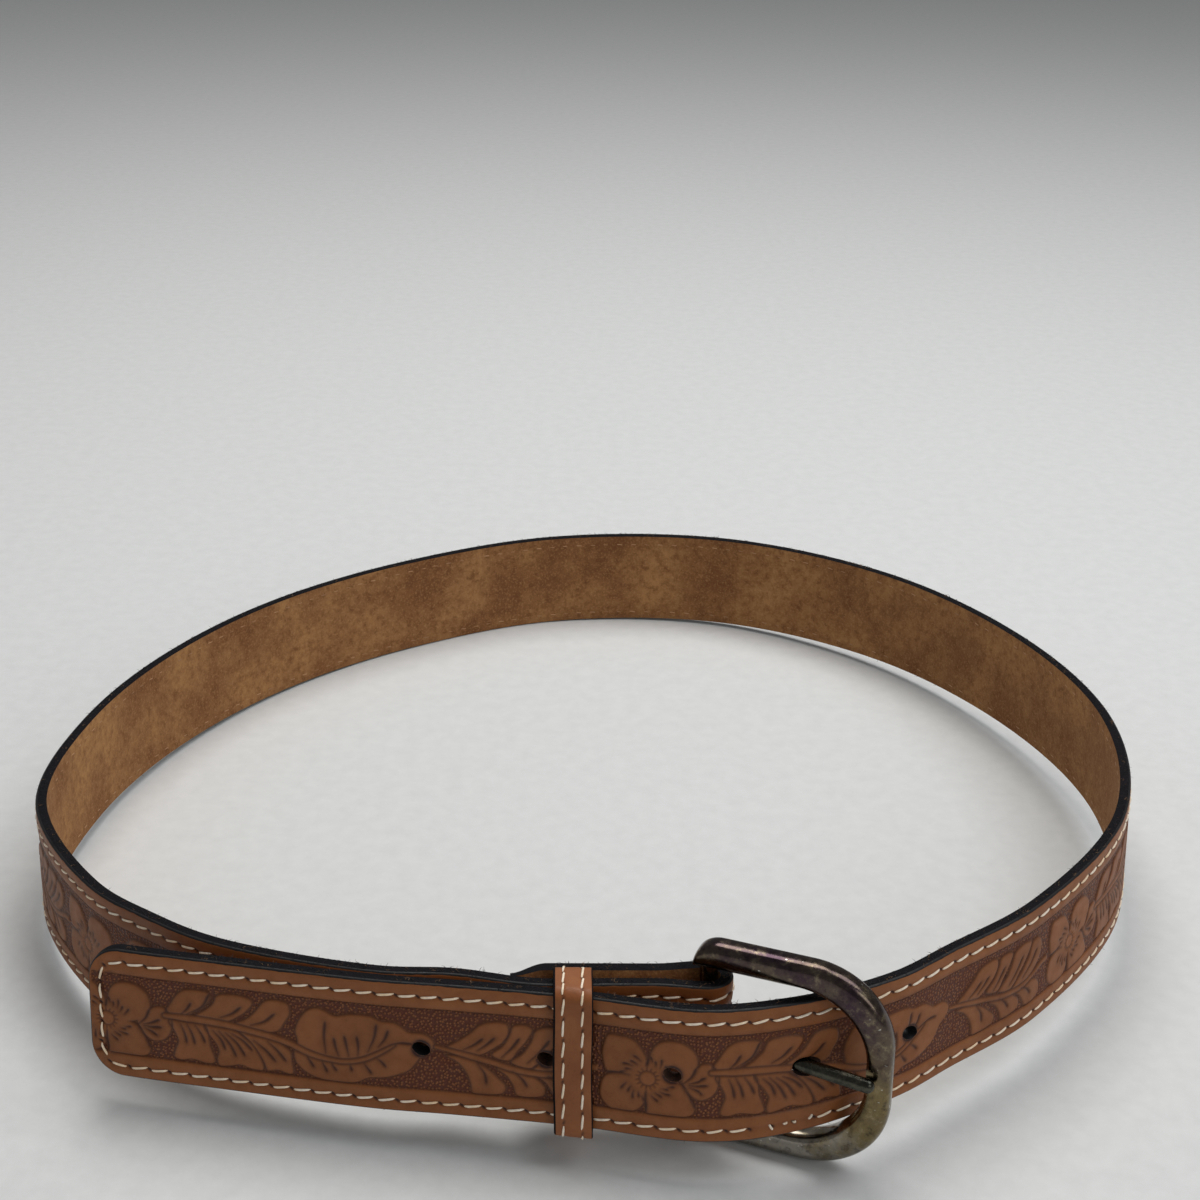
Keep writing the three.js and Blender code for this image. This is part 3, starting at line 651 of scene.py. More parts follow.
# Knife cuts with the width that they open to, drawn fine at their far end
CUTS = [
    [(-9.2, 14.6), (-6.5, 14.9), (-4, 14.7)], [(-0.3, 5.9), (-0.2, 8), (-0.4, 10.2)],
    [(10.1, 8.2), (9.1, 10.6), (7.3, 13.2)], [(10.1, 18), (9.2, 15.9), (7.4, 14)],
    [(-0.1, 19), (-0.4, 17.4), (-0.4, 16.9)],
    [(12.5, 15.8), (10.4, 14.7), (8.6, 14.2)], [(12.9, 13.9), (10.6, 13.7), (8.6, 13.8)],
    [(11.8, 11.7), (10.2, 12.7), (8.8, 13.3)],
    [(20, 20.9), (19, 19.3), (17.6, 17.9)], [(31.6, 21.4), (29.6, 19.6), (26.9, 18.3)],
    [(39.4, 20.8), (37, 18.6), (33.8, 17.3)], [(24.3, 23.6), (22.6, 20.4), (19, 18.1)],
    [(18.7, 10.8), (18.3, 13), (17.4, 15.4)], [(20.6, 10.8), (20, 13.2), (18.9, 15.6)],
    [(23, 11.4), (22.2, 13.4), (20.8, 15.6)],
    [(27.7, 10.4), (26.7, 12.8), (24.9, 14.8)], [(30.2, 9), (28.7, 12), (26.3, 14.9)],
    [(32.3, 9.4), (30.4, 12.4), (27.9, 14.6)], [(34, 11), (31.8, 13.2), (29.4, 14.6)],
    [(39.4, 9), (37, 11.6), (34.4, 13.6)], [(41.8, 9.4), (39.6, 12), (37.6, 13.8)],
    [(50.9, 20.4), (50.6, 16.6), (51, 12.7)], [(52.8, 16.6), (53.2, 14.4), (53.9, 12.4)],
    [(55.2, 17.4), (55.7, 14.8), (56.2, 12.6)], [(58, 17.6), (58.3, 15.2), (58.2, 12.9)],
    [(62.4, 21), (61.9, 17.8), (60.5, 14.2)], [(65, 19.8), (64.2, 17.6), (62.8, 15.6)],
    [(48.2, 8.8), (47.2, 10.4), (46.5, 11.6)], [(51.2, 8), (50.6, 9.4), (50, 10.6)],
    [(53.4, 8.6), (52.6, 9.6), (52.2, 10.6)], [(56.8, 9), (56.6, 9.8), (56.4, 10.6)],
    [(61.2, 8.8), (60.4, 10), (59.6, 11.2)], [(64.4, 10.8), (63.4, 12), (62.4, 12.8)],
    [(70.4, 16.8), (67.8, 17), (65.4, 16.4)],
    [(85.8, 19.6), (84, 18), (81.6, 16.6)], [(88.4, 20), (86.6, 18.2), (84.6, 16.6)],
    [(93.8, 20.4), (92.2, 18), (89.9, 15.4)], [(95, 18), (93.6, 16.4), (92.2, 15)],
    [(100.4, 20.6), (98.4, 17.6), (95.6, 14.6)], [(106, 20.2), (104, 17.4), (100.6, 14.6)],
    [(86.6, 8.6), (86.2, 11), (84.6, 13.4)], [(95.6, 8.8), (94.4, 10.6), (92.4, 12.2)],
    [(104, 8.8), (102.6, 10.6), (100.2, 11.9)],
]
CUT_WIDTH = 0.56
BUTTON = (-0.1, 14.4, 1.75)
TICKS_ROUND_BUTTON = 15
PETAL_FANS = [(135, 5.6), (48, 5.4), (-52, 5.4), (-132, 5.8)]  # bearing and reach of each


def rounded_outline(points, closed=True):
    """An outline as a smooth line of short segments."""
    p = np.array(points, float)
    if closed:
        loop = catmull(np.vstack([p[-2:], p, p[:2]]), 6)
        return loop[12 : 12 + 6 * len(p) + 1]
    return catmull(p, 8)


def plate_grid():
    x = np.arange(CELL_START, CELL_START + CELL_LENGTH, PLATE_STEP)
    y = np.arange(FIELD_BOTTOM - 1, FIELD_TOP + 1, PLATE_STEP)
    return x, y


def near_window(x, y, points, margin):
    low, high = points[:, :2].min(0) - margin, points[:, :2].max(0) + margin
    i = np.searchsorted(x, (low[0], high[0]))
    j = np.searchsorted(y, (low[1], high[1]))
    return slice(*i), slice(*j)


def line_distance(gx, gy, points):
    """Distance of grid points to a polyline, and how far along it the nearest place is."""
    best = np.full(gx.shape, 1e9)
    share = np.zeros(gx.shape)
    count = len(points) - 1
    for i in range(count):
        a, b = points[i, :2], points[i + 1, :2]
        d = b - a
        t = np.clip(((gx - a[0]) * d[0] + (gy - a[1]) * d[1]) / max(d @ d, 1e-12), 0, 1)
        r = np.hypot(gx - a[0] - t * d[0], gy - a[1] - t * d[1])
        closer = r < best
        best[closer] = r[closer]
        share[closer] = ((i + t) / count)[closer]
    return best, share


def inside_outline(gx, gy, points):
    odd = np.zeros(gx.shape, bool)
    for (ax, ay), (bx, by) in zip(points[:-1], points[1:]):
        if ay == by:
            continue
        crosses = (ay > gy) != (by > gy)
        odd ^= crosses & (gx < (bx - ax) * (gy - ay) / (by - ay) + ax)
    return odd


def softened(values):
    """A small blur, as damp leather rounds what a tool presses into it."""
    for axis in (0, 1, 0, 1):
        values = (np.roll(values, 1, axis) + 2 * values + np.roll(values, -1, axis)) / 4
    return values


def tooling_plate():
    """Relief in millimetres below the figures' tops, tone of the ground, and tone of the cuts."""
    x, y = plate_grid()
    gx, gy = np.meshgrid(x, y, indexing="ij")
    figure = np.full(gx.shape, FAR)
    groove = np.zeros(gx.shape)
    shade = np.zeros(gx.shape)

    def carve(window, distance, width, depth=1.0, soft=0.9):
        core = np.clip(1 - distance / width, 0, 1)
        groove[window] = np.maximum(groove[window], depth * core**0.8)
        shade[window] = np.maximum(shade[window], 0.42 * depth * np.exp(-distance / soft))

    def outlined(outlines):
        """Signed distance to the joined outlines, negative inside."""
        joined = np.full(gx.shape, FAR)
        for outline in outlines:
            points = rounded_outline(outline)
            window = near_window(x, y, points, 1.6)
            r, _ = line_distance(gx[window], gy[window], points)
            signed = np.where(inside_outline(gx[window], gy[window], points), -r, r)
            joined[window] = np.minimum(joined[window], signed)
        return joined

    for group in (PETALS, *([lobe] for lobe in LOBES)):
        signed = outlined(group)
        carve(slice(None), np.abs(signed), 0.3, 0.85, 0.4)
        figure = np.minimum(figure, signed)
    for row in STEMS:
        points = rounded_outline(row, closed=False)
        window = near_window(x, y, points, 2)
        r, share = line_distance(gx[window], gy[window], points)
        half = np.interp(share, np.linspace(0, 1, len(points)), points[:, 2]) / 2
        signed = r - half
        inner = np.clip(signed / -0.25, 0, 1)
        groove[window] *= 1 - inner
        shade[window] *= 1 - inner
        carve(window, np.abs(signed - 0.05), 0.3, 0.8, 0.5)
        figure[window] = np.minimum(figure[window], signed)
    fans = []
    cx, cy, button = BUTTON
    for bearing, reach in PETAL_FANS:
        for k, spread in enumerate((-26, -12, 3, 17, 30)):
            a = math.radians(bearing + spread)
            r0 = reach + (0.9, 0.1, 0.8, -0.3, 0.5)[k]
            r1 = reach - (0.9, 1.5, 1.2, 1.5, 0.8)[k]
            bent = [(r, a + 0.1 * (r - r1)) for r in (r0, (r0 + r1) / 2, r1)]
            fans.append([(cx + r * math.cos(b), cy + 0.9 * r * math.sin(b)) for r, b in bent])
    for k, cut in enumerate((*CUTS, *fans)):
        points = rounded_outline(cut, closed=False)
        window = near_window(x, y, points, 2)
        r, share = line_distance(gx[window], gy[window], points)
        opened = CUT_WIDTH if k < len(CUTS) else 0.8 * CUT_WIDTH
        width = opened * np.clip(1.15 - share, 0.25, 0.85) * np.clip(share * 6 + 0.4, 0, 1)
        carve(window, r, width, 1.0, 0.7)
    angle = np.arctan2(gy - cy, gx - cx)
    radius = np.hypot(gx - cx, gy - cy)
    ring = np.clip(1 - np.abs(radius - button) / 0.3, 0, 1)
    spoke = np.clip(1.2 - np.abs(np.sin(angle * TICKS_ROUND_BUTTON / 2)) / 0.5, 0, 1)
    spoke *= (radius > button) * np.clip((button + 1.1 - radius) / 0.4, 0, 1)
    middle = smooth(radius, button + 0.3, button + 1.7)
    groove, shade = groove * middle, shade * middle
    groove = np.maximum(groove, np.maximum(ring * 0.8, spoke))
    ground = smooth(figure, -0.02, 0.22)
    border = np.clip(1 - np.abs(gy - FIELD_BOTTOM) / 0.3, 0, 1)
    border = np.maximum(border, np.clip(1 - np.abs(gy - FIELD_TOP) / 0.3, 0, 1))
    groove = np.maximum(groove, border)
    field = smooth(gy, FIELD_BOTTOM - 0.1, FIELD_BOTTOM + 0.1)
    field *= 1 - smooth(gy, FIELD_TOP - 0.1, FIELD_TOP + 0.1)
    rim = np.minimum(gy - FIELD_BOTTOM, FIELD_TOP - gy)
    shade = np.maximum(shade, 0.55 * np.exp(-np.clip(rim, 0, FAR) / 0.5))
    rounding = 0.1 * np.exp(-np.clip(-figure, 0, FAR) / 0.45)
    sunk = GROUND_DEPTH * ground * (1 - 0.25 * smooth(figure, 0.5, 1.6))
    relief = -(sunk + rounding * (1 - ground))
    relief = (relief - CUT_DEPTH * groove * (1 - 0.6 * ground)) * np.maximum(field, border)
    cut_tone = np.clip(groove * 1.15, 0, 1) * (1 - 0.35 * ground)
    cut_tone = cut_tone + shade * (1 - 0.6 * ground) * (1 - groove)
    cut_tone = np.clip(cut_tone, 0, 1) * np.maximum(field, border)
    return x, y, softened(relief), softened(ground * field), softened(cut_tone)


plate_x, plate_y, plate_relief, plate_tone, plate_cut = tooling_plate()


def on_plate(run, height, values):
    """Values of the plate at places on the strap, by bilinear reading."""
    cell = np.clip(np.searchsorted(FLOWER_RUNS, run + CELL_START, side="right") - 1, 0, None)
    starts = np.array(FLOWER_RUNS)[np.clip(cell, 0, len(FLOWER_RUNS) - 2)]
    spans = np.diff(FLOWER_RUNS)[np.clip(cell, 0, len(FLOWER_RUNS) - 2)]
    local = (run - starts) * np.where(run > starts, CELL_LENGTH / spans, 1)
    local = np.where(local > CELL_START + CELL_LENGTH, local - CELL_LENGTH, local)
    i = np.clip((local - plate_x[0]) / PLATE_STEP, 0, len(plate_x) - 1.001)
    j = np.clip((height - plate_y[0]) / PLATE_STEP, 0, len(plate_y) - 1.001)
    a, b = i.astype(int), j.astype(int)
    s, t = i - a, j - b
    near = values[a, b] * (1 - t) + values[a, b + 1] * t
    far = values[a + 1, b] * (1 - t) + values[a + 1, b + 1] * t
    inside = (height > plate_y[0]) & (height < plate_y[-1])
    return np.where(inside, near * (1 - s) + far * s, 0)


# Where the stitches lie on the strap, as run and height, round the tip in one row
def stitch_row():
    end = total_run - 9
    arc = np.linspace(0, np.pi / 2, 12)[1:-1]
    r = TIP_CORNER_RADIUS
    low = [(r - (r - ROW_END) * math.sin(a), r - (r - ROW_BOTTOM) * math.cos(a)) for a in arc]
    rise = ROW_TOP + r - STRAP_WIDTH
    high = [(r - (r - ROW_END) * math.cos(a), STRAP_WIDTH - r + rise * math.sin(a)) for a in arc]
    path = np.array([(end, ROW_BOTTOM), (r, ROW_BOTTOM), *low, (ROW_END, r),
                     (ROW_END, STRAP_WIDTH - r), *high, (r, ROW_TOP), (end, ROW_TOP)])
    runs = lengths(path)
    count = round(runs[-1] / STITCH_PITCH)
    at = (np.arange(count) + 0.5) * runs[-1] / count
    step = 0.05
    spots, before, after = (
        np.stack([np.interp(at + d, runs, path[:, k]) for k in (0, 1)], 1) for d in (0, -step, step)
    )
    return spots, (after - before) / (2 * step)


row_spots, row_ahead = stitch_row()
row_gaps = row_spots + row_ahead * STITCH_PITCH / 2
hole_runs = [used_run + i * HOLE_SPACING for i in range(-HOLES_ON_TIP_SIDE, HOLES_ON_LOOP_SIDE + 1)]


def corner_distance(run, height):
    """Distance in from the strap's outline, round the tip's corners."""
    r = TIP_CORNER_RADIUS
    flat = np.minimum(np.minimum(height, STRAP_WIDTH - height), run)
    level = np.minimum(height, STRAP_WIDTH - height)
    corner = (run < r) & (level < r)
    return np.where(corner, r - np.hypot(r - run, r - level), flat)


def needle_marks(run, height):
    """How near each place is to a needle hole, from 0 to 1, and how near to the stitched row."""
    marks = np.zeros(run.shape)
    order = np.argsort(row_gaps[:, 0])
    gaps = row_gaps[order]
    for rows in (gaps[gaps[:, 1] < STRAP_WIDTH / 2], gaps[gaps[:, 1] >= STRAP_WIDTH / 2]):
        i = np.clip(np.searchsorted(rows[:, 0], run), 1, len(rows) - 1)
        for k in (i - 1, i):
            dx, dy = run - rows[k, 0], height - rows[k, 1]
            along, across = dx * 0.8 - dy * 0.6, dx * 0.6 + dy * 0.8
            marks = np.maximum(marks, np.exp(-((along / 0.62) ** 2) - (across / 0.23) ** 2))
    row = np.minimum(np.abs(height - ROW_BOTTOM), np.abs(height - ROW_TOP))
    row = np.where(run < ROW_END + 1.5, np.abs(run - ROW_END), row)
    return marks, np.exp(-((row / 0.55) ** 2))


def outer_face(run, height):
    """Relief and tones of the strap's grain side, with painted shade in the needle holes and round
    the mouths of the punched holes.
    """
    relief = on_plate(run, height, plate_relief)
    tone = on_plate(run, height, plate_tone)
    cut = on_plate(run, height, plate_cut)
    marks, row = needle_marks(run, height)
    relief = relief - 0.16 * row - 0.3 * marks
    # Painted shade in the needle holes, and the stitch grooves a little darker
    cut = np.maximum(cut, np.maximum(1.9 * marks, 0.12 * row))
    # Each punched hole's rim is pressed in, and painted shade darkens round its mouth
    for at in hole_runs:
        r = np.hypot(run - at, height - STRAP_WIDTH / 2) - 0.42 * HOLE_MOUTH
        relief = relief * smooth(r, -0.2, 0.5) - 0.35 * np.exp(-np.clip(r, 0, 9) / 0.5)
        cut = np.maximum(cut, 1.3 * np.exp(-np.clip(r, 0, 9) / 0.4))
    fade = smooth(corner_distance(run, height), 0.3, 1.0)
    return relief * fade, tone * fade, cut * fade


def height_columns(field_step):
    edge = [0, 0.03, 0.12, 0.3, EDGE_ROUNDING, 1.1]
    row = np.arange(1.5, 4.2, 0.32)
    rims = [b + d for b in (FIELD_BOTTOM, FIELD_TOP) for d in (-0.3, -0.15, 0, 0.12, 0.25)]
    field = np.arange(FIELD_BOTTOM + 0.3 + field_step / 2, FIELD_TOP - 0.35, field_step)
    low = [*edge, *row, 4.8]
    return np.array([*low, *rims[:5], *field, *rims[5:], *(STRAP_WIDTH - np.array(low[::-1]))])


def strap_piece(name, runs, field_step):
    """One length of the strap as a closed skin with grain side, painted edges and flesh side."""
    columns = height_columns(field_step)
    inner = np.linspace(1, 0, 15)
    edge_steps = np.array([0.5, 0, -0.5])
    n_out, n_in = len(columns), len(inner)
    around = n_out + n_in + 2 * len(edge_steps)
    run = np.repeat(runs[:, None], around, 1)
    r = TIP_CORNER_RADIUS
    short = np.where(runs < r, r - np.sqrt(np.clip(r * r - (r - runs) ** 2, 0, None)), 0)
    share = columns / STRAP_WIDTH
    near_low = columns < STRAP_WIDTH / 2
    span = STRAP_WIDTH - 2 * short[:, None]
    outer_h = np.where(short[:, None] > 0, short[:, None] + share * span, columns[None, :])
    from_top = STRAP_WIDTH - short[:, None] - (STRAP_WIDTH - columns)
    kept = np.where(near_low, short[:, None] + columns, from_top)
    edge_zone = np.minimum(columns, STRAP_WIDTH - columns) < 1.2
    outer_h = np.where(edge_zone & (short[:, None] > 0), kept, outer_h)
    thick = np.interp(total_run - runs, [0, SKIVE_LENGTH], [SKIVE_THICKNESS, STRAP_THICKNESS])
    half = thick[:, None] / 2
    rounding = np.minimum(EDGE_ROUNDING, half * 0.8)

    def rounded(h, run_here):
        d = np.minimum(corner_distance(run_here, h), total_run - run_here)
        d = np.clip(d, 0, rounding)
        return half - rounding + np.sqrt(np.clip(rounding**2 - (rounding - d) ** 2, 0, None))

    run_out = run[:, :n_out]
    relief, tone, cut = outer_face(run_out, outer_h)
    out_w = rounded(outer_h, run_out) + relief
    edge = np.clip(np.minimum(corner_distance(run_out, outer_h), total_run - run_out), 0, 2)
    inner_h = short[:, None] + 0.2 + inner[None, :] * (span - 0.4)
    run_in = run[:, :n_in]
    in_w = -rounded(inner_h, run_in) + 0.05 * np.sin(run_in * 0.9 + inner_h) * np.sin(inner_h * 0.7)
    side_w = (half - rounding)[:, :1] * edge_steps[None, :]
    top_h = np.repeat(STRAP_WIDTH - short[:, None], len(edge_steps), 1)
    low_h = np.repeat(short[:, None], len(edge_steps), 1)
    height = np.hstack([outer_h, top_h, inner_h, low_h])
    width = np.hstack([out_w, side_w, in_w, side_w[:, ::-1]])
    points = strap_point(run, height, width).reshape(-1, 3)
    blank = np.zeros((len(runs), around - n_out))
    faces = ring_faces(len(runs), around)
    columns_of = np.tile(np.arange(around), len(runs) - 1)
    index = np.ones(around, int)
    index[: n_out - 1] = 0
    index[n_out + len(edge_steps) : n_out + len(edge_steps) + n_in - 1] = 2
    indices = np.concatenate([index[columns_of], [1, 1]])
    made = mesh_object(
        name, points, faces, (grain, paint, flesh), indices,
        {"tone": np.hstack([tone, blank]).ravel(), "cut": np.hstack([cut, blank]).ravel(),
         "edge_mm": np.hstack([edge, blank]).ravel()},
        np.stack([run.ravel(), height.ravel()], 1),
    )
    return made


def prism(name, outline, start, along, depth_axis, depth, taper=1.0):
    """A closed prism: an outline in the plane of two axes, pushed through along a third."""
    n = len(outline)
    u, v = along
    ring = np.array([u * a + v * b for a, b in outline])
    w = np.array(depth_axis, float)
    points = np.vstack([start + ring - w * depth / 2, start + ring * taper + w * depth / 2])
    faces = [[j, (j + 1) % n, n + (j + 1) % n, n + j] for j in range(n)]
    faces += [list(range(n - 1, -1, -1)), list(range(n, 2 * n))]
    if np.dot(np.cross(u, v), w) < 0:
        faces = [f[::-1] for f in faces]
    return mesh_object(name, points, faces, (hole_wall,))


def circle(radius, steps):
    a = np.arange(steps) * 2 * np.pi / steps
    return np.stack([radius * np.cos(a), radius * np.sin(a)], 1)


UP = np.array([0.0, 0, 1])


def punch_holes(made, runs):
    for i, at in enumerate(runs):
        p, f = on_line(np.array([at]))
        across, depth, taper = np.array([-f[0][1], f[0][0], 0]), 2 * STRAP_THICKNESS, HOLE_CLOSING
        pulled = np.array([[math.cos(0.4), math.sin(0.4)], [-math.sin(0.4), math.cos(0.4)]])
        shape = (circle(HOLE_MOUTH / 2, 40) * (1.1, 0.8)) @ pulled
        if abs(at - used_run) < 1:
            across, depth, taper = np.array([*along_prong, 0]), PRONG_HOLE_CUTTER, 1.0
            shape = circle(HOLE_DIAMETER / 2, 40)
        u = np.cross(UP, across)
        start = np.array([*p[0], STRAP_WIDTH / 2])
        cut_with(made, prism(f"punch_{i}", shape, start, (u, UP), across, depth, taper))
    return made


def cut_slot(made):
    r = SLOT_HEIGHT / 2
    left, right = -SLOT_BEHIND_BAR + r, fold_radius + STRAP_THICKNESS
    a = np.linspace(np.pi / 2, 3 * np.pi / 2, 24)
    outline = [(left + r * math.cos(t), r * math.sin(t)) for t in a] + [(right, -r), (right, r)]
    start = np.array([*heel, STRAP_WIDTH / 2])
    slot = prism("slot", outline, start, (np.array([1.0, 0, 0]), UP), np.array([0, -1.0, 0]),
                 CUTTER_DEPTH)
    return cut_with(made, slot)


def make_strap():
    arc = TIP_CORNER_RADIUS * (1 - np.cos(np.linspace(0, np.pi / 2, 44)))
    tip_end, right_end, back_end = PIECE_ENDS
    fine, middling, back_step, left_step = RING_STEPS
    tip_runs = np.concatenate([arc, np.arange(TIP_CORNER_RADIUS + fine, tip_end, fine), [tip_end]])
    near, beyond = np.arange(tip_end, 300, fine), np.arange(300.1, right_end - 0.2, middling)
    right_runs = np.concatenate([near, beyond, [right_end]])
    back_runs = np.concatenate([np.arange(right_end, back_end - 0.2, back_step), [back_end]])
    end = total_run - EDGE_ROUNDING * (1 - np.cos(np.linspace(np.pi / 2, 0, 6)))
    left_runs = np.concatenate([np.arange(back_end, total_run - 0.9, left_step), end])
    pieces = [
        punch_holes(strap_piece("strap_tip", tip_runs, FRONT_COLUMN_STEP), hole_runs[:4]),
        punch_holes(strap_piece("strap_right", right_runs, FRONT_COLUMN_STEP), hole_runs[4:]),
        strap_piece("strap_back", back_runs, BACK_COLUMN_STEP),
        cut_slot(strap_piece("strap_left", left_runs, BACK_COLUMN_STEP)),
    ]
    for made in pieces:
        crease(made, 55)
        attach(made, "root")
        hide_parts("strap")


# The keeper: a band round both layers, its front following the tip
def keeper_shape(points):
    """Moves the keeper's points so that its front leg follows the tip."""
    back_out = main_y + STRAP_THICKNESS / 2 + CLEARANCE + KEEPER_THICKNESS
    front_out = tip_y - STRAP_THICKNESS / 2 - CLEARANCE - KEEPER_THICKNESS
    wall = KEEPER_THICKNESS
    share = np.clip((back_out - wall - points[:, 1]) / (back_out - front_out - 2 * wall), 0, 1)
    near = line_runs < total_run / 2
    front = line[near]
    nearest = np.argmin(
        np.hypot(front[None, :, 0] - points[:, None, 0], front[None, :, 1] - tip_y), axis=1)
    run = line_runs[near][nearest]
    slope = np.interp(run, line_runs, line[:, 1]) - tip_y
    moved = points.copy()
    moved[:, 1] += share * (slope + lean_at(run, points[:, 2]))
    return moved


def keeper_ring():
    """The keeper's outer outline as depth and height, with its outward direction."""
    x0 = tip_y - STRAP_THICKNESS / 2 - CLEARANCE - KEEPER_THICKNESS
    x1 = main_y + STRAP_THICKNESS / 2 + CLEARANCE + KEEPER_THICKNESS
    y0, y1 = -CLEARANCE - KEEPER_THICKNESS, STRAP_WIDTH + CLEARANCE + KEEPER_THICKNESS
    r = KEEPER_CORNER_RADIUS
    corners = [(x0 + r, y1 - r, 90), (x0 + r, y0 + r, 180), (x1 - r, y0 + r, 270),
               (x1 - r, y1 - r, 0)]
    spots, outs = [], []
    for i, (cx, cy, start) in enumerate(corners):
        for a in np.radians(np.linspace(start, start + 90, 9)):
            spots.append((cx + r * math.cos(a), cy + r * math.sin(a)))
            outs.append((math.cos(a), math.sin(a)))
        nx, ny, nstart = corners[(i + 1) % 4]
        a = math.radians(nstart)
        to = np.array([nx + r * math.cos(a), ny + r * math.sin(a)])
        here = np.array(spots[-1])
        steps = max(2, int(np.linalg.norm(to - here) / 0.3))
        for s in np.linspace(0, 1, steps + 1)[1:-1]:
            spots.append(tuple(here + (to - here) * s))
            outs.append((math.cos(a), math.sin(a)))
    return np.array(spots), np.array(outs)


def keeper_profile():
    """Cross-section of the band: across the strip and in from its outer face."""
    w, t, r = KEEPER_WIDTH / 2, KEEPER_THICKNESS, 0.45
    face = [(x, 0.1 * (x / w) ** 2) for x in np.linspace(-w + r, w - r, 39)]
    turn = np.radians(np.linspace(90, 0, 5))[1:]
    right = [(w - r + r * math.cos(a), r + 0.1 - r * math.sin(a)) for a in turn]
    right += [(w - 0.05, t / 2)] + [(w, t - r)]
    right += [(w - r + r * math.cos(a), t - r - r * math.sin(a)) for a in -np.radians([30, 60, 90])]
    inside = [(x, t) for x in np.linspace(w - r, -w + r, 7)[1:-1]]
    left = [(-x, y) for x, y in right[::-1]]
    return face + right + inside + left


KEEPER_ROWS = (-2.15, 2.05)
KEEPER_PHASES = (0.1, 0.55)
KEEPER_PITCH = 5.1


def make_keeper():
    spots, outs = keeper_ring()
    profile = np.array(keeper_profile())
    across, depth = profile[:, 0], profile[:, 1]
    groove = sum(0.14 * np.exp(-(((across - row) / 0.45) ** 2)) for row in KEEPER_ROWS)
    depth = np.where(depth < 0.2, depth + groove, depth)
    n = len(profile)
    wave = 0.12 * np.sin(np.linspace(0, 2 * np.pi, len(spots), endpoint=False) * 3 + 0.6)
    points = np.stack([
        keeper_x + across[None, :] * (1 - 0.012) + wave[:, None] * 0.8,
        spots[:, :1] - outs[:, :1] * depth[None, :],
        spots[:, 1:] - outs[:, 1:] * depth[None, :],
    ], -1).reshape(-1, 3)
    points = keeper_shape(points)
    faces = ring_faces(len(spots), n, close_along=True)
    mid = (depth + np.roll(depth, -1)) / 2
    kind = np.where(np.abs(across) < KEEPER_WIDTH / 2 - 0.3, np.where(mid > 1, 2, 0), 1)
    gaps = lengths(np.vstack([spots, spots[:1]]))
    count = round(gaps[-1] / KEEPER_PITCH)
    # Painted shade in the needle holes at each stitch's ends, on the outer face only
    cut = np.zeros((len(spots), n))
    for row, phase in zip(KEEPER_ROWS, KEEPER_PHASES):
        past = (gaps[:-1] / gaps[-1] * count - phase + 0.5) % 1
        away = np.minimum(past, 1 - past) * KEEPER_PITCH
        beside = across[None, :] - row + 0.35 * np.where(past < 0.5, away, -away)[:, None]
        cut = np.maximum(cut, np.exp(-((away[:, None] / 0.55) ** 2) - (beside / 0.26) ** 2))
    made = mesh_object(
        "keeper_band", points, faces, (keeper_hide, paint, flesh), np.tile(kind, len(spots)),
        {"cut": (cut * (depth < 0.5)).ravel()})
    crease(made, 60)
    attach(made, "root")
    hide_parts("keeper")
    return spots, outs


# The buckle, drawn with its reach along X, its height along Y and its front along Z
def buckle_points(points, yaw, height):
    p = np.asarray(points, float)
    stood = np.stack([p[:, 0], -p[:, 2], p[:, 1]], 1)
    c, s = math.cos(yaw), math.sin(yaw)
    turned_points = np.stack([stood[:, 0] * c - stood[:, 1] * s, stood[:, 0] * s + stood[:, 1] * c,
                              stood[:, 2]], 1)
    return turned_points + np.array([*heel, height])


def rail_stations():
    """Outer and inner edges of the D rail from the lower heel round to the upper one."""
    half, rail = FRAME_HEIGHT / 2, RAIL_WIDTH / 2
    inner_y = -half + RAIL_WIDTH
    r, R = HEEL_CORNER_RADIUS, D_CORNER_RADIUS
    Ri = D_CORNER_RADIUS - D_BAR_WIDTH / 2
    x1 = FRAME_REACH + rail
    outer, inner = [], []
    for a in np.radians(np.linspace(186, 270, 22)):
        x = -rail + r + r * math.cos(a)
        outer.append((x, -half + r + r * math.sin(a)))
        inner.append((x, inner_y))
    straight = np.linspace(0, 1, 40)[1:]
    for s in straight:
        outer.append((-rail + r + s * (x1 - R + rail - r), -half))
        inner.append((-rail + r + s * (x1 - D_BAR_WIDTH - Ri + rail - r), inner_y))
    for a in np.radians(np.linspace(270, 360, 60))[1:]:
        outer.append((x1 - R + R * math.cos(a), -half + R + R * math.sin(a)))
        inner.append((x1 - D_BAR_WIDTH - Ri + Ri * math.cos(a), inner_y + Ri + Ri * math.sin(a)))
    for s in np.linspace(0, 1, 28)[1:]:
        outer.append((x1, (-half + R) * (1 - s)))
        inner.append((x1 - D_BAR_WIDTH, (inner_y + Ri) * (1 - s)))
    outer, inner = np.array(outer), np.array(inner)
    flip = np.array([1, -1])
    return [np.vstack([edge, edge[-2::-1] * flip]) for edge in (outer, inner)]


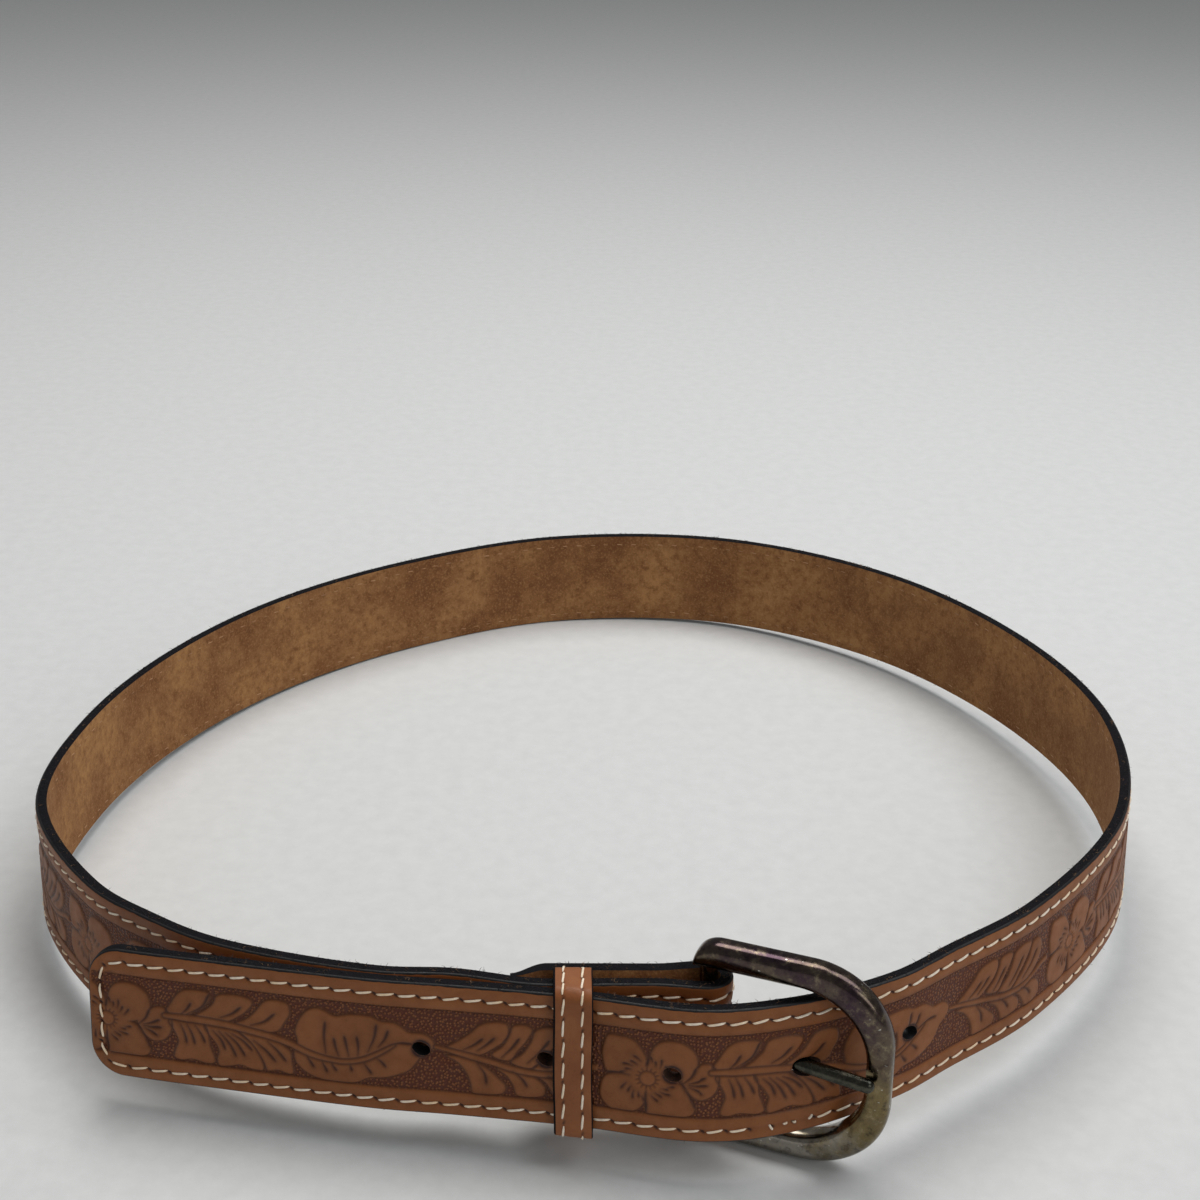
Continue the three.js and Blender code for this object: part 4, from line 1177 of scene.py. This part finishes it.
def make_frame():
    outer, inner = rail_stations()
    mid, reach = (outer + inner) / 2, (outer - inner) / 2
    around = 36
    a = np.arange(around) * 2 * np.pi / around
    power = 2 / 2.7
    cs = np.sign(np.cos(a)) * np.abs(np.cos(a)) ** power
    sn = np.sign(np.sin(a)) * np.abs(np.sin(a)) ** power
    end = np.minimum(lengths(mid), lengths(mid)[-1] - lengths(mid))
    depth = RAIL_DEPTH / 2 * (1 - 0.35 * np.clip(1 - end / 2.2, 0, 1) ** 2)
    x = mid[:, :1] + reach[:, :1] * cs
    y = mid[:, 1:] + reach[:, 1:] * cs
    z = depth[:, None] * sn
    dip = NOTCH_RADIUS**2 - (y - FRAME_SAG) ** 2
    floor = RAIL_DEPTH / 2 - np.sqrt(np.clip(dip, 0, None))
    edge = FRAME_REACH + RAIL_WIDTH / 2 - D_BAR_WIDTH + 2.0
    notched = (dip > 0) & (x < edge) & (x > FRAME_REACH - RAIL_WIDTH) & (z > 0)
    z = np.where(notched, np.minimum(z, floor), z)
    points = np.stack([x, y, z], -1).reshape(-1, 3)
    made = mesh_object(
        "buckle_rail", buckle_points(points, FRAME_YAW, STRAP_WIDTH / 2 - FRAME_SAG),
        [f[::-1] for f in ring_faces(len(mid), around)], (frame_metal,))
    long = FRAME_HEIGHT - 2 * RAIL_WIDTH + RAIL_WIDTH * 0.8
    rings = np.linspace(-long / 2, long / 2, 40)
    r = HEEL_BAR_DIAMETER / 2
    c = circle(r, 28)
    bar = np.array([(u, h, w) for h in rings for u, w in c])
    bar_made = mesh_object(
        "heel_bar", buckle_points(bar, FRAME_YAW, STRAP_WIDTH / 2 - FRAME_SAG),
        ring_faces(len(rings), 28), (frame_metal,))
    cut_with(made, bar_made, "UNION")
    crease(made, 50)
    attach(made, "root")
    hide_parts("buckle_frame")


def make_prong():
    """A drawn pin with a faint ridge, its end blunt, its other end wrapped round the bar."""
    reach = FRAME_REACH + PRONG_PAST_BAR
    r = PRONG_DIAMETER / 2
    blunt = reach - r + r * np.sin(np.linspace(0, np.pi / 2, 12))
    end = np.concatenate([np.linspace(0, reach - r, 90), blunt[1:]])
    around = 32
    a = np.arange(around) * 2 * np.pi / around
    cap = np.sqrt(np.clip(1 - ((end - (reach - r)) / r).clip(0, 1) ** 2, 0.0004, 1))
    flat = 1 - 0.06 * smooth(end, reach - 10, reach - 4)
    radius = r * cap * 0.99
    ridge = 1 - 0.03 * np.abs(np.sin(a * 3))
    x = np.repeat(end[:, None], around, 1)
    y = radius[:, None] * np.cos(a) * ridge
    z = (radius * flat)[:, None] * np.sin(a) * ridge
    points = np.stack([x, y, z], -1).reshape(-1, 3)
    made = mesh_object(
        "prong_pin", buckle_points(points, prong_yaw, STRAP_WIDTH / 2),
        ring_faces(len(end), around), (prong_metal,))
    bore = HEEL_BAR_DIAMETER / 2 + CLEARANCE
    heights = np.linspace(-PRONG_EYE_WIDTH / 2, PRONG_EYE_WIDTH / 2, 13)
    bulge = bore + PRONG_EYE_WALL - 0.5 * (np.abs(heights) / (PRONG_EYE_WIDTH / 2)) ** 4
    c = circle(1, 44)
    eye = np.array([(u * b, h, w * b) for h, b in zip(heights, bulge) for u, w in c])
    ring = mesh_object("eye", buckle_points(eye, prong_yaw, STRAP_WIDTH / 2),
                       ring_faces(len(heights), 44), (prong_metal,))
    cut_with(made, ring, "UNION")
    inside = np.array([(u * bore, h, w * bore) for h in (-4, 4) for u, w in c])
    hole = mesh_object("bore", buckle_points(inside, prong_yaw, STRAP_WIDTH / 2),
                       ring_faces(2, 44), (prong_metal,))
    cut_with(made, hole)
    crease(made, 40)
    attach(made, "root")
    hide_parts("prong")


def make_rivet(node_name, height):
    seat = (layer_pitch + STRAP_THICKNESS) / 2 + CLEARANCE
    top = seat + RIVET_HEAD_HEIGHT
    head = RIVET_HEAD_DIAMETER / 2
    dome = np.linspace(0, np.pi / 2, 9)
    rise = RIVET_HEAD_HEIGHT - 0.15
    half = [(head * math.cos(a), seat + 0.15 + rise * math.sin(a)) for a in dome[:-1]]
    half = [(RIVET_SHANK_RADIUS, seat), (head - 0.1, seat), *half, (0.25, top)]
    profile = [(x, -y) for x, y in half[::-1]] + half
    c = circle(1, 36)
    x0, y0 = rivet_plan
    points = [(x0 + r * u, y0 + y, height - r * w) for r, y in profile for u, w in c]
    name = "rivet_" + node_name.split("_")[-1]
    made = mesh_object(name, points, ring_faces(len(profile), 36), (rivet_metal,))
    crease(made, 50)
    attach(made, "root")
    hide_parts(node_name)


# Geometry Nodes: what repeats
def new_tree(name, sockets):
    tree = bpy.data.node_groups.new(name, "GeometryNodeTree")
    tree.interface.new_socket("Geometry", in_out="INPUT", socket_type="NodeSocketGeometry")
    tree.interface.new_socket("Geometry", in_out="OUTPUT", socket_type="NodeSocketGeometry")
    for label, kind in sockets:
        tree.interface.new_socket(label, in_out="INPUT", socket_type=kind)
    return tree, tree.nodes.new("NodeGroupInput"), tree.nodes.new("NodeGroupOutput")


def grow(made, tree, values):
    """Runs a tree on an object with its inputs set by identifier, and keeps the plain mesh."""
    change = made.modifiers.new(tree.name, "NODES")
    change.node_group = tree
    ids = {s.name: s.identifier for s in tree.interface.items_tree if s.in_out == "INPUT"}
    for label, value in values.items():
        change[ids[label]] = value
    return settle(made)


def strand(tree, ends, points, offset, slim, diameter, sides):
    """A round strand between two ends, bent by an offset and thinned along its way."""
    spine = node(tree, "GeometryNodeCurvePrimitiveLine", ends).outputs[0]
    spine = node(tree, "GeometryNodeResampleCurve", {"Curve": spine, "Count": points}).outputs[0]
    spine = node(tree, "GeometryNodeSetPosition", {"Geometry": spine, "Offset": offset}).outputs[0]
    radius = node(tree, "ShaderNodeMath", {0: diameter, 1: 0.5}, operation="MULTIPLY").outputs[0]
    section = node(
        tree, "GeometryNodeCurvePrimitiveCircle", {"Resolution": sides, "Radius": radius}
    ).outputs[0]
    body = {"Curve": spine, "Profile Curve": section, "Scale": slim, "Fill Caps": True}
    return node(tree, "GeometryNodeCurveToMesh", body).outputs[0]


def upright(tree, up, ahead):
    """The turn that sets Z along one direction and X near another."""
    return node(
        tree, "FunctionNodeAxesToRotation", {"Primary Axis": up, "Secondary Axis": ahead},
        primary_axis="Z", secondary_axis="X",
    ).outputs[0]


def planted(tree, points, body, turn, size, coat, soft):
    """One strand on each point, as plain geometry with its material."""
    laid = {"Points": points, "Instance": body, "Rotation": turn, "Scale": size}
    laid = node(tree, "GeometryNodeInstanceOnPoints", laid).outputs[0]
    solid = node(tree, "GeometryNodeRealizeInstances", {"Geometry": laid}).outputs[0]
    if soft:
        solid = node(tree, "GeometryNodeSetShadeSmooth", {"Geometry": solid}).outputs[0]
    return node(
        tree, "GeometryNodeSetMaterial", {"Geometry": solid, "Material": coat}
    ).outputs[0]


def stitch_tree():
    """Lays one sunk, round-ended thread stitch on each point, along its row and out of the face."""
    tree, given, result = new_tree("lay_stitches", [
        ("Stitch Length", "NodeSocketFloat"), ("Thread Diameter", "NodeSocketFloat"),
        ("Sunk Ends", "NodeSocketFloat"), ("Seed", "NodeSocketInt"),
        ("Thread", "NodeSocketMaterial"),
    ])
    g = given.outputs
    ends = {}
    for label, share in (("Start", -0.5), ("End", 0.5)):
        x = node(
            tree, "ShaderNodeMath", {0: g["Stitch Length"], 1: share}, operation="MULTIPLY"
        ).outputs[0]
        ends[label] = node(tree, "ShaderNodeCombineXYZ", {"X": x}).outputs[0]
    # The fourth power of the way from the middle bends and thins only the two ends
    factor = node(tree, "GeometryNodeSplineParameter").outputs["Factor"]
    power = node(
        tree, "ShaderNodeMath", {0: factor, 1: 2.0, 2: -1.0}, operation="MULTIPLY_ADD"
    ).outputs[0]
    for _ in range(2):
        power = node(
            tree, "ShaderNodeMath", {0: power, 1: power}, operation="MULTIPLY"
        ).outputs[0]
    sink = node(
        tree, "ShaderNodeMath", {0: power, 1: g["Sunk Ends"]}, operation="MULTIPLY"
    ).outputs[0]
    drop = node(tree, "ShaderNodeMath", {0: sink, 1: -1.0}, operation="MULTIPLY").outputs[0]
    offset = node(tree, "ShaderNodeCombineXYZ", {"Z": drop}).outputs[0]
    slim = node(
        tree, "ShaderNodeMath", {0: power, 1: -0.45, 2: 1.0}, operation="MULTIPLY_ADD"
    ).outputs[0]
    body = strand(tree, ends, 7, offset, slim, g["Thread Diameter"], 7)
    place = node(tree, "GeometryNodeInputPosition").outputs[0]
    local = node(
        tree, "ShaderNodeVectorMath", {0: place, "Scale": 1000.0}, operation="SCALE"
    ).outputs[0]
    body = node(
        tree, "GeometryNodeStoreNamedAttribute",
        {"Geometry": body, "Name": "thread_mm", "Value": local},
        data_type="FLOAT_VECTOR", domain="POINT",
    ).outputs[0]
    along, out, slant, stretch = (
        node(tree, "GeometryNodeInputNamedAttribute", {"Name": key}, data_type=kind).outputs[0]
        for key, kind in (("along", "FLOAT_VECTOR"), ("out", "FLOAT_VECTOR"), ("slant", "FLOAT"),
                          ("stretch", "FLOAT"))
    )
    wobble = node(
        tree, "FunctionNodeRandomValue", {2: -0.05, 3: 0.05, "Seed": g["Seed"]}, data_type="FLOAT",
    ).outputs[1]
    angle = node(tree, "ShaderNodeMath", {0: slant, 1: wobble}, operation="ADD").outputs[0]
    spin = node(tree, "ShaderNodeCombineXYZ", {"Z": angle}).outputs[0]
    spin = node(tree, "FunctionNodeEulerToRotation", {0: spin}).outputs[0]
    turn = node(
        tree, "FunctionNodeRotateRotation",
        {"Rotation": upright(tree, out, along), "Rotate By": spin}, rotation_space="LOCAL",
    ).outputs[0]
    size = node(tree, "ShaderNodeCombineXYZ", {"X": stretch, "Y": 1.0, "Z": 1.0}).outputs[0]
    done = planted(tree, g["Geometry"], body, turn, size, g["Thread"], True)
    tree.links.new(done, result.inputs[0])
    return tree


def fibre_tree():
    """Scatters short curved fibres in tufts over the faces that it is given."""
    tree, given, result = new_tree("grow_fibres", [
        ("Density", "NodeSocketFloat"), ("Fibre Length", "NodeSocketFloat"),
        ("Fibre Diameter", "NodeSocketFloat"), ("Seed", "NodeSocketInt"),
        ("Fibre", "NodeSocketMaterial"),
    ])
    g = given.outputs
    tufts = node(tree, "ShaderNodeTexNoise", {"Scale": 160.0, "Detail": 2.0}).outputs["Fac"]
    patch = ranged(tree, tufts, 0.42, 0.7, 0.15, 1.0)
    amount = node(
        tree, "ShaderNodeMath", {0: patch, 1: g["Density"]}, operation="MULTIPLY"
    ).outputs[0]
    spread = node(
        tree, "GeometryNodeDistributePointsOnFaces",
        {"Mesh": g["Geometry"], "Density": amount, "Seed": g["Seed"]}, distribute_method="RANDOM",
    )
    stop = node(tree, "ShaderNodeCombineXYZ", {"Z": g["Fibre Length"]}).outputs[0]
    factor = node(tree, "GeometryNodeSplineParameter").outputs["Factor"]
    square = node(tree, "ShaderNodeMath", {0: factor, 1: factor}, operation="MULTIPLY").outputs[0]
    lean = node(
        tree, "ShaderNodeMath", {0: square, 1: g["Fibre Length"]}, operation="MULTIPLY"
    ).outputs[0]
    bend = node(tree, "ShaderNodeCombineXYZ", {"X": lean}).outputs[0]
    slim = node(
        tree, "ShaderNodeMath", {0: factor, 1: -0.8, 2: 1.0}, operation="MULTIPLY_ADD"
    ).outputs[0]
    body = strand(tree, {"End": stop}, 3, bend, slim, g["Fibre Diameter"], 3)
    sway = node(
        tree, "FunctionNodeRandomValue",
        {0: (-1.0, -1.0, -0.2), 1: (1.0, 1.0, 0.6), "Seed": g["Seed"]}, data_type="FLOAT_VECTOR",
    ).outputs[0]
    lift = node(
        tree, "ShaderNodeVectorMath", {0: spread.outputs["Normal"], 1: sway}, operation="ADD",
    ).outputs[0]
    grown = node(
        tree, "FunctionNodeRandomValue", {2: 0.3, 3: 1.0, "Seed": g["Seed"]}, data_type="FLOAT",
    ).outputs[1]
    turn = upright(tree, lift, sway)
    done = planted(tree, spread.outputs["Points"], body, turn, grown, g["Fibre"], False)
    tree.links.new(done, result.inputs[0])
    return tree


stitching = stitch_tree()
fraying = fibre_tree()


def lay_stitches(name, spots, along, out, slant, stretch, length, yarn=None):
    made = mesh_object(name, spots, [], attributes={
        "along": turned(along), "out": turned(out), "slant": slant, "stretch": stretch})
    grow(made, stitching, {
        "Stitch Length": length / 1000, "Thread Diameter": THREAD_DIAMETER / 1000,
        "Sunk Ends": STITCH_SINK / 1000, "Seed": 4, "Thread": yarn or thread})
    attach(made, "root")


def strap_stitches():
    """Both rows on the grain side, and the same needle holes' thread on the flesh side."""
    first, last = WORN_RUNS
    runs, loose = row_spots[:, 0], len(LOOSE_ENDS)
    keep = ~((row_spots[:, 1] < STRAP_WIDTH / 2) & (runs > first) & (runs < last))
    spots = np.vstack([row_spots[keep], [end[:2] for end in LOOSE_ENDS]])
    ahead = np.vstack([row_ahead[keep], [(1, 0)] * loose])
    n = len(spots)
    slant = np.where(spots[:, 0] < TIP_CORNER_RADIUS, 0.5, 1.0) * STITCH_SLANT
    slant[-loose:] = [end[2] for end in LOOSE_ENDS]
    stretch = np.where(spots[:, 0] < TIP_CORNER_RADIUS, 0.95, 1.0) + rng.uniform(-0.04, 0.04, n)
    stretch[-loose:] = [end[3] for end in LOOSE_ENDS]
    run, height = spots[:, 0], spots[:, 1]
    half = np.full(n, STRAP_THICKNESS / 2)
    here = strap_point(run, height, half)
    eps = 0.4
    ahead_point = strap_point(run + ahead[:, 0] * eps, height + ahead[:, 1] * eps, half)
    along = (ahead_point - here) / eps
    outward = strap_point(run, height, half + 1) - here
    lay_stitches("stitches_grain_side", here + outward * 0.02, along, outward, slant, stretch,
                 STITCH_LENGTH)
    whole = slice(0, n - loose)
    inside = strap_point(run[whole], height[whole], 0.2 - half[whole])
    lay_stitches("stitches_flesh_side", inside, along[whole], -outward[whole],
                 slant[whole] * -0.6, stretch[whole] * 0.9, STITCH_LENGTH,
                 rubbed_thread)


def keeper_stitches(spots, outs):
    gaps = lengths(np.vstack([spots, spots[:1]]))
    count = round(gaps[-1] / KEEPER_PITCH)
    places, along, out, stretch = [], [], [], []
    loop = np.vstack([spots, spots[:1]])
    ways = np.vstack([outs, outs[:1]])
    for row, phase in zip(KEEPER_ROWS, KEEPER_PHASES):
        for k in range(count):
            at = (k + phase) * gaps[-1] / count
            y, z = (np.interp(at, gaps, loop[:, i]) for i in (0, 1))
            oy, oz = (np.interp(at, gaps, ways[:, i]) for i in (0, 1))
            straight = max(abs(oy), abs(oz)) > 0.99
            stretch.append(1.0 if straight else 0.7)
            places.append((keeper_x + row, y - oy * 0.02, z - oz * 0.02))
            along.append((0, -oz, oy))
            out.append((0, oy, oz))
    places = keeper_shape(np.array(places, float))
    n = len(places)
    lay_stitches("stitches_keeper", places, np.array(along), np.array(out),
                 np.full(n, -0.09), np.array(stretch), KEEPER_STITCH_LENGTH)


def edge_fibres():
    """Fibres along both painted edges of the strap, from strips laid just on them."""
    runs = np.arange(9, total_run - 9, 1.5)
    for name, height, side, density in (
        ("fibres_upper_edge", STRAP_WIDTH, 1, UPPER_FIBRES),
        ("fibres_lower_edge", 0, -1, LOWER_FIBRES),
    ):
        n = len(runs)
        outs = np.array([STRAP_THICKNESS / 2 - 0.45, -STRAP_THICKNESS / 2 + 0.45])
        run = np.repeat(runs[:, None], 2, 1)
        points = strap_point(run, np.full(run.shape, float(height)), np.tile(outs * side, (n, 1)))
        i = np.arange(n - 1)
        faces = np.stack([2 * i, 2 * i + 2, 2 * i + 3, 2 * i + 1], 1).tolist()
        made = mesh_object(name, points.reshape(-1, 3), faces)
        grow(made, fraying, {
            "Density": density, "Fibre Length": FIBRE_LENGTH / 1000,
            "Fibre Diameter": FIBRE_DIAMETER / 1000, "Seed": 7, "Fibre": fibre})
        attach(made, "root")


make_strap()
ring_spots, ring_outs = make_keeper()
make_frame()
make_prong()
for rivet_node, rivet_height in rivet_heights.items():
    make_rivet(rivet_node, rivet_height)
strap_stitches()
keeper_stitches(ring_spots, ring_outs)
edge_fibres()


# Stage: board, soft light and the photograph's view
def make_stage():
    mesh = bpy.data.meshes.new("board")
    s = 4.0
    corners = [(-s, -s, 0), (s, -s, 0), (s, s * 1.5, 0), (-s, s * 1.5, 0)]
    mesh.from_pydata(corners, [], [(0, 1, 2, 3)])
    mesh.materials.append(board_white)
    board = bpy.data.objects.new("board", mesh)
    bpy.context.scene.collection.objects.link(board)
    for name, place, size, power, tint in (
        ("window_light", (-0.05, 0.4, 1.2), 0.8, 8.2, (1.0, 0.98, 0.96)),
        ("ceiling_light", (0.7, -0.05, 1.3), 1.0, 7.6, (0.97, 0.98, 1.0)),
        ("front_fill", (1.0, -1.2, 0.9), 0.8, 3.0, (1.0, 1.0, 1.0)),
    ):
        light = bpy.data.lights.new(name, "AREA")
        light.shape = "DISK"
        light.size, light.energy, light.color = size, power, tint
        lamp = bpy.data.objects.new(name, light)
        lamp.location = place
        lamp.rotation_euler = (-Vector(place)).to_track_quat("-Z", "Y").to_euler()
        bpy.context.scene.collection.objects.link(lamp)
    world = bpy.data.worlds.new("room")
    world.use_nodes = True
    world.node_tree.nodes["Background"].inputs["Color"].default_value = (0.99, 0.99, 1.0, 1)
    world.node_tree.nodes["Background"].inputs["Strength"].default_value = 0.2
    bpy.context.scene.world = world
    bpy.context.scene.view_settings.view_transform = "Standard"


# The photograph's camera in the belt's own plan: place in millimetres, pitch, roll and lens
CAMERA_PLACE = (1.6, -460.3, 264.76)
CAMERA_PITCH = math.radians(23.58)
CAMERA_ROLL = math.radians(0.17)
LENS = 54.0
SENSOR = 36.0
DOWN_SHIFT = 1.7 / 1200


def make_camera():
    data = bpy.data.cameras.new("camera")
    data.lens, data.sensor_width, data.shift_y = LENS, SENSOR, DOWN_SHIFT
    data.clip_start, data.clip_end = 0.01, 20
    camera = bpy.data.objects.new("camera", data)
    right = np.array([1.0, 0, 0])
    up = np.array([0, math.sin(CAMERA_PITCH), math.cos(CAMERA_PITCH)])
    back = np.array([0, -math.cos(CAMERA_PITCH), math.sin(CAMERA_PITCH)])
    c, s = math.cos(CAMERA_ROLL), math.sin(CAMERA_ROLL)
    axes = [right * c + up * s, up * c - right * s, back]
    turn = np.eye(4)
    turn[:3, :3] = np.stack([tilt @ a for a in axes], 1)
    turn[:3, 3] = to_model([CAMERA_PLACE])[0]
    camera.matrix_world = Matrix(turn.tolist())
    bpy.context.scene.collection.objects.link(camera)
    bpy.context.scene.camera = camera


make_stage()
make_camera()
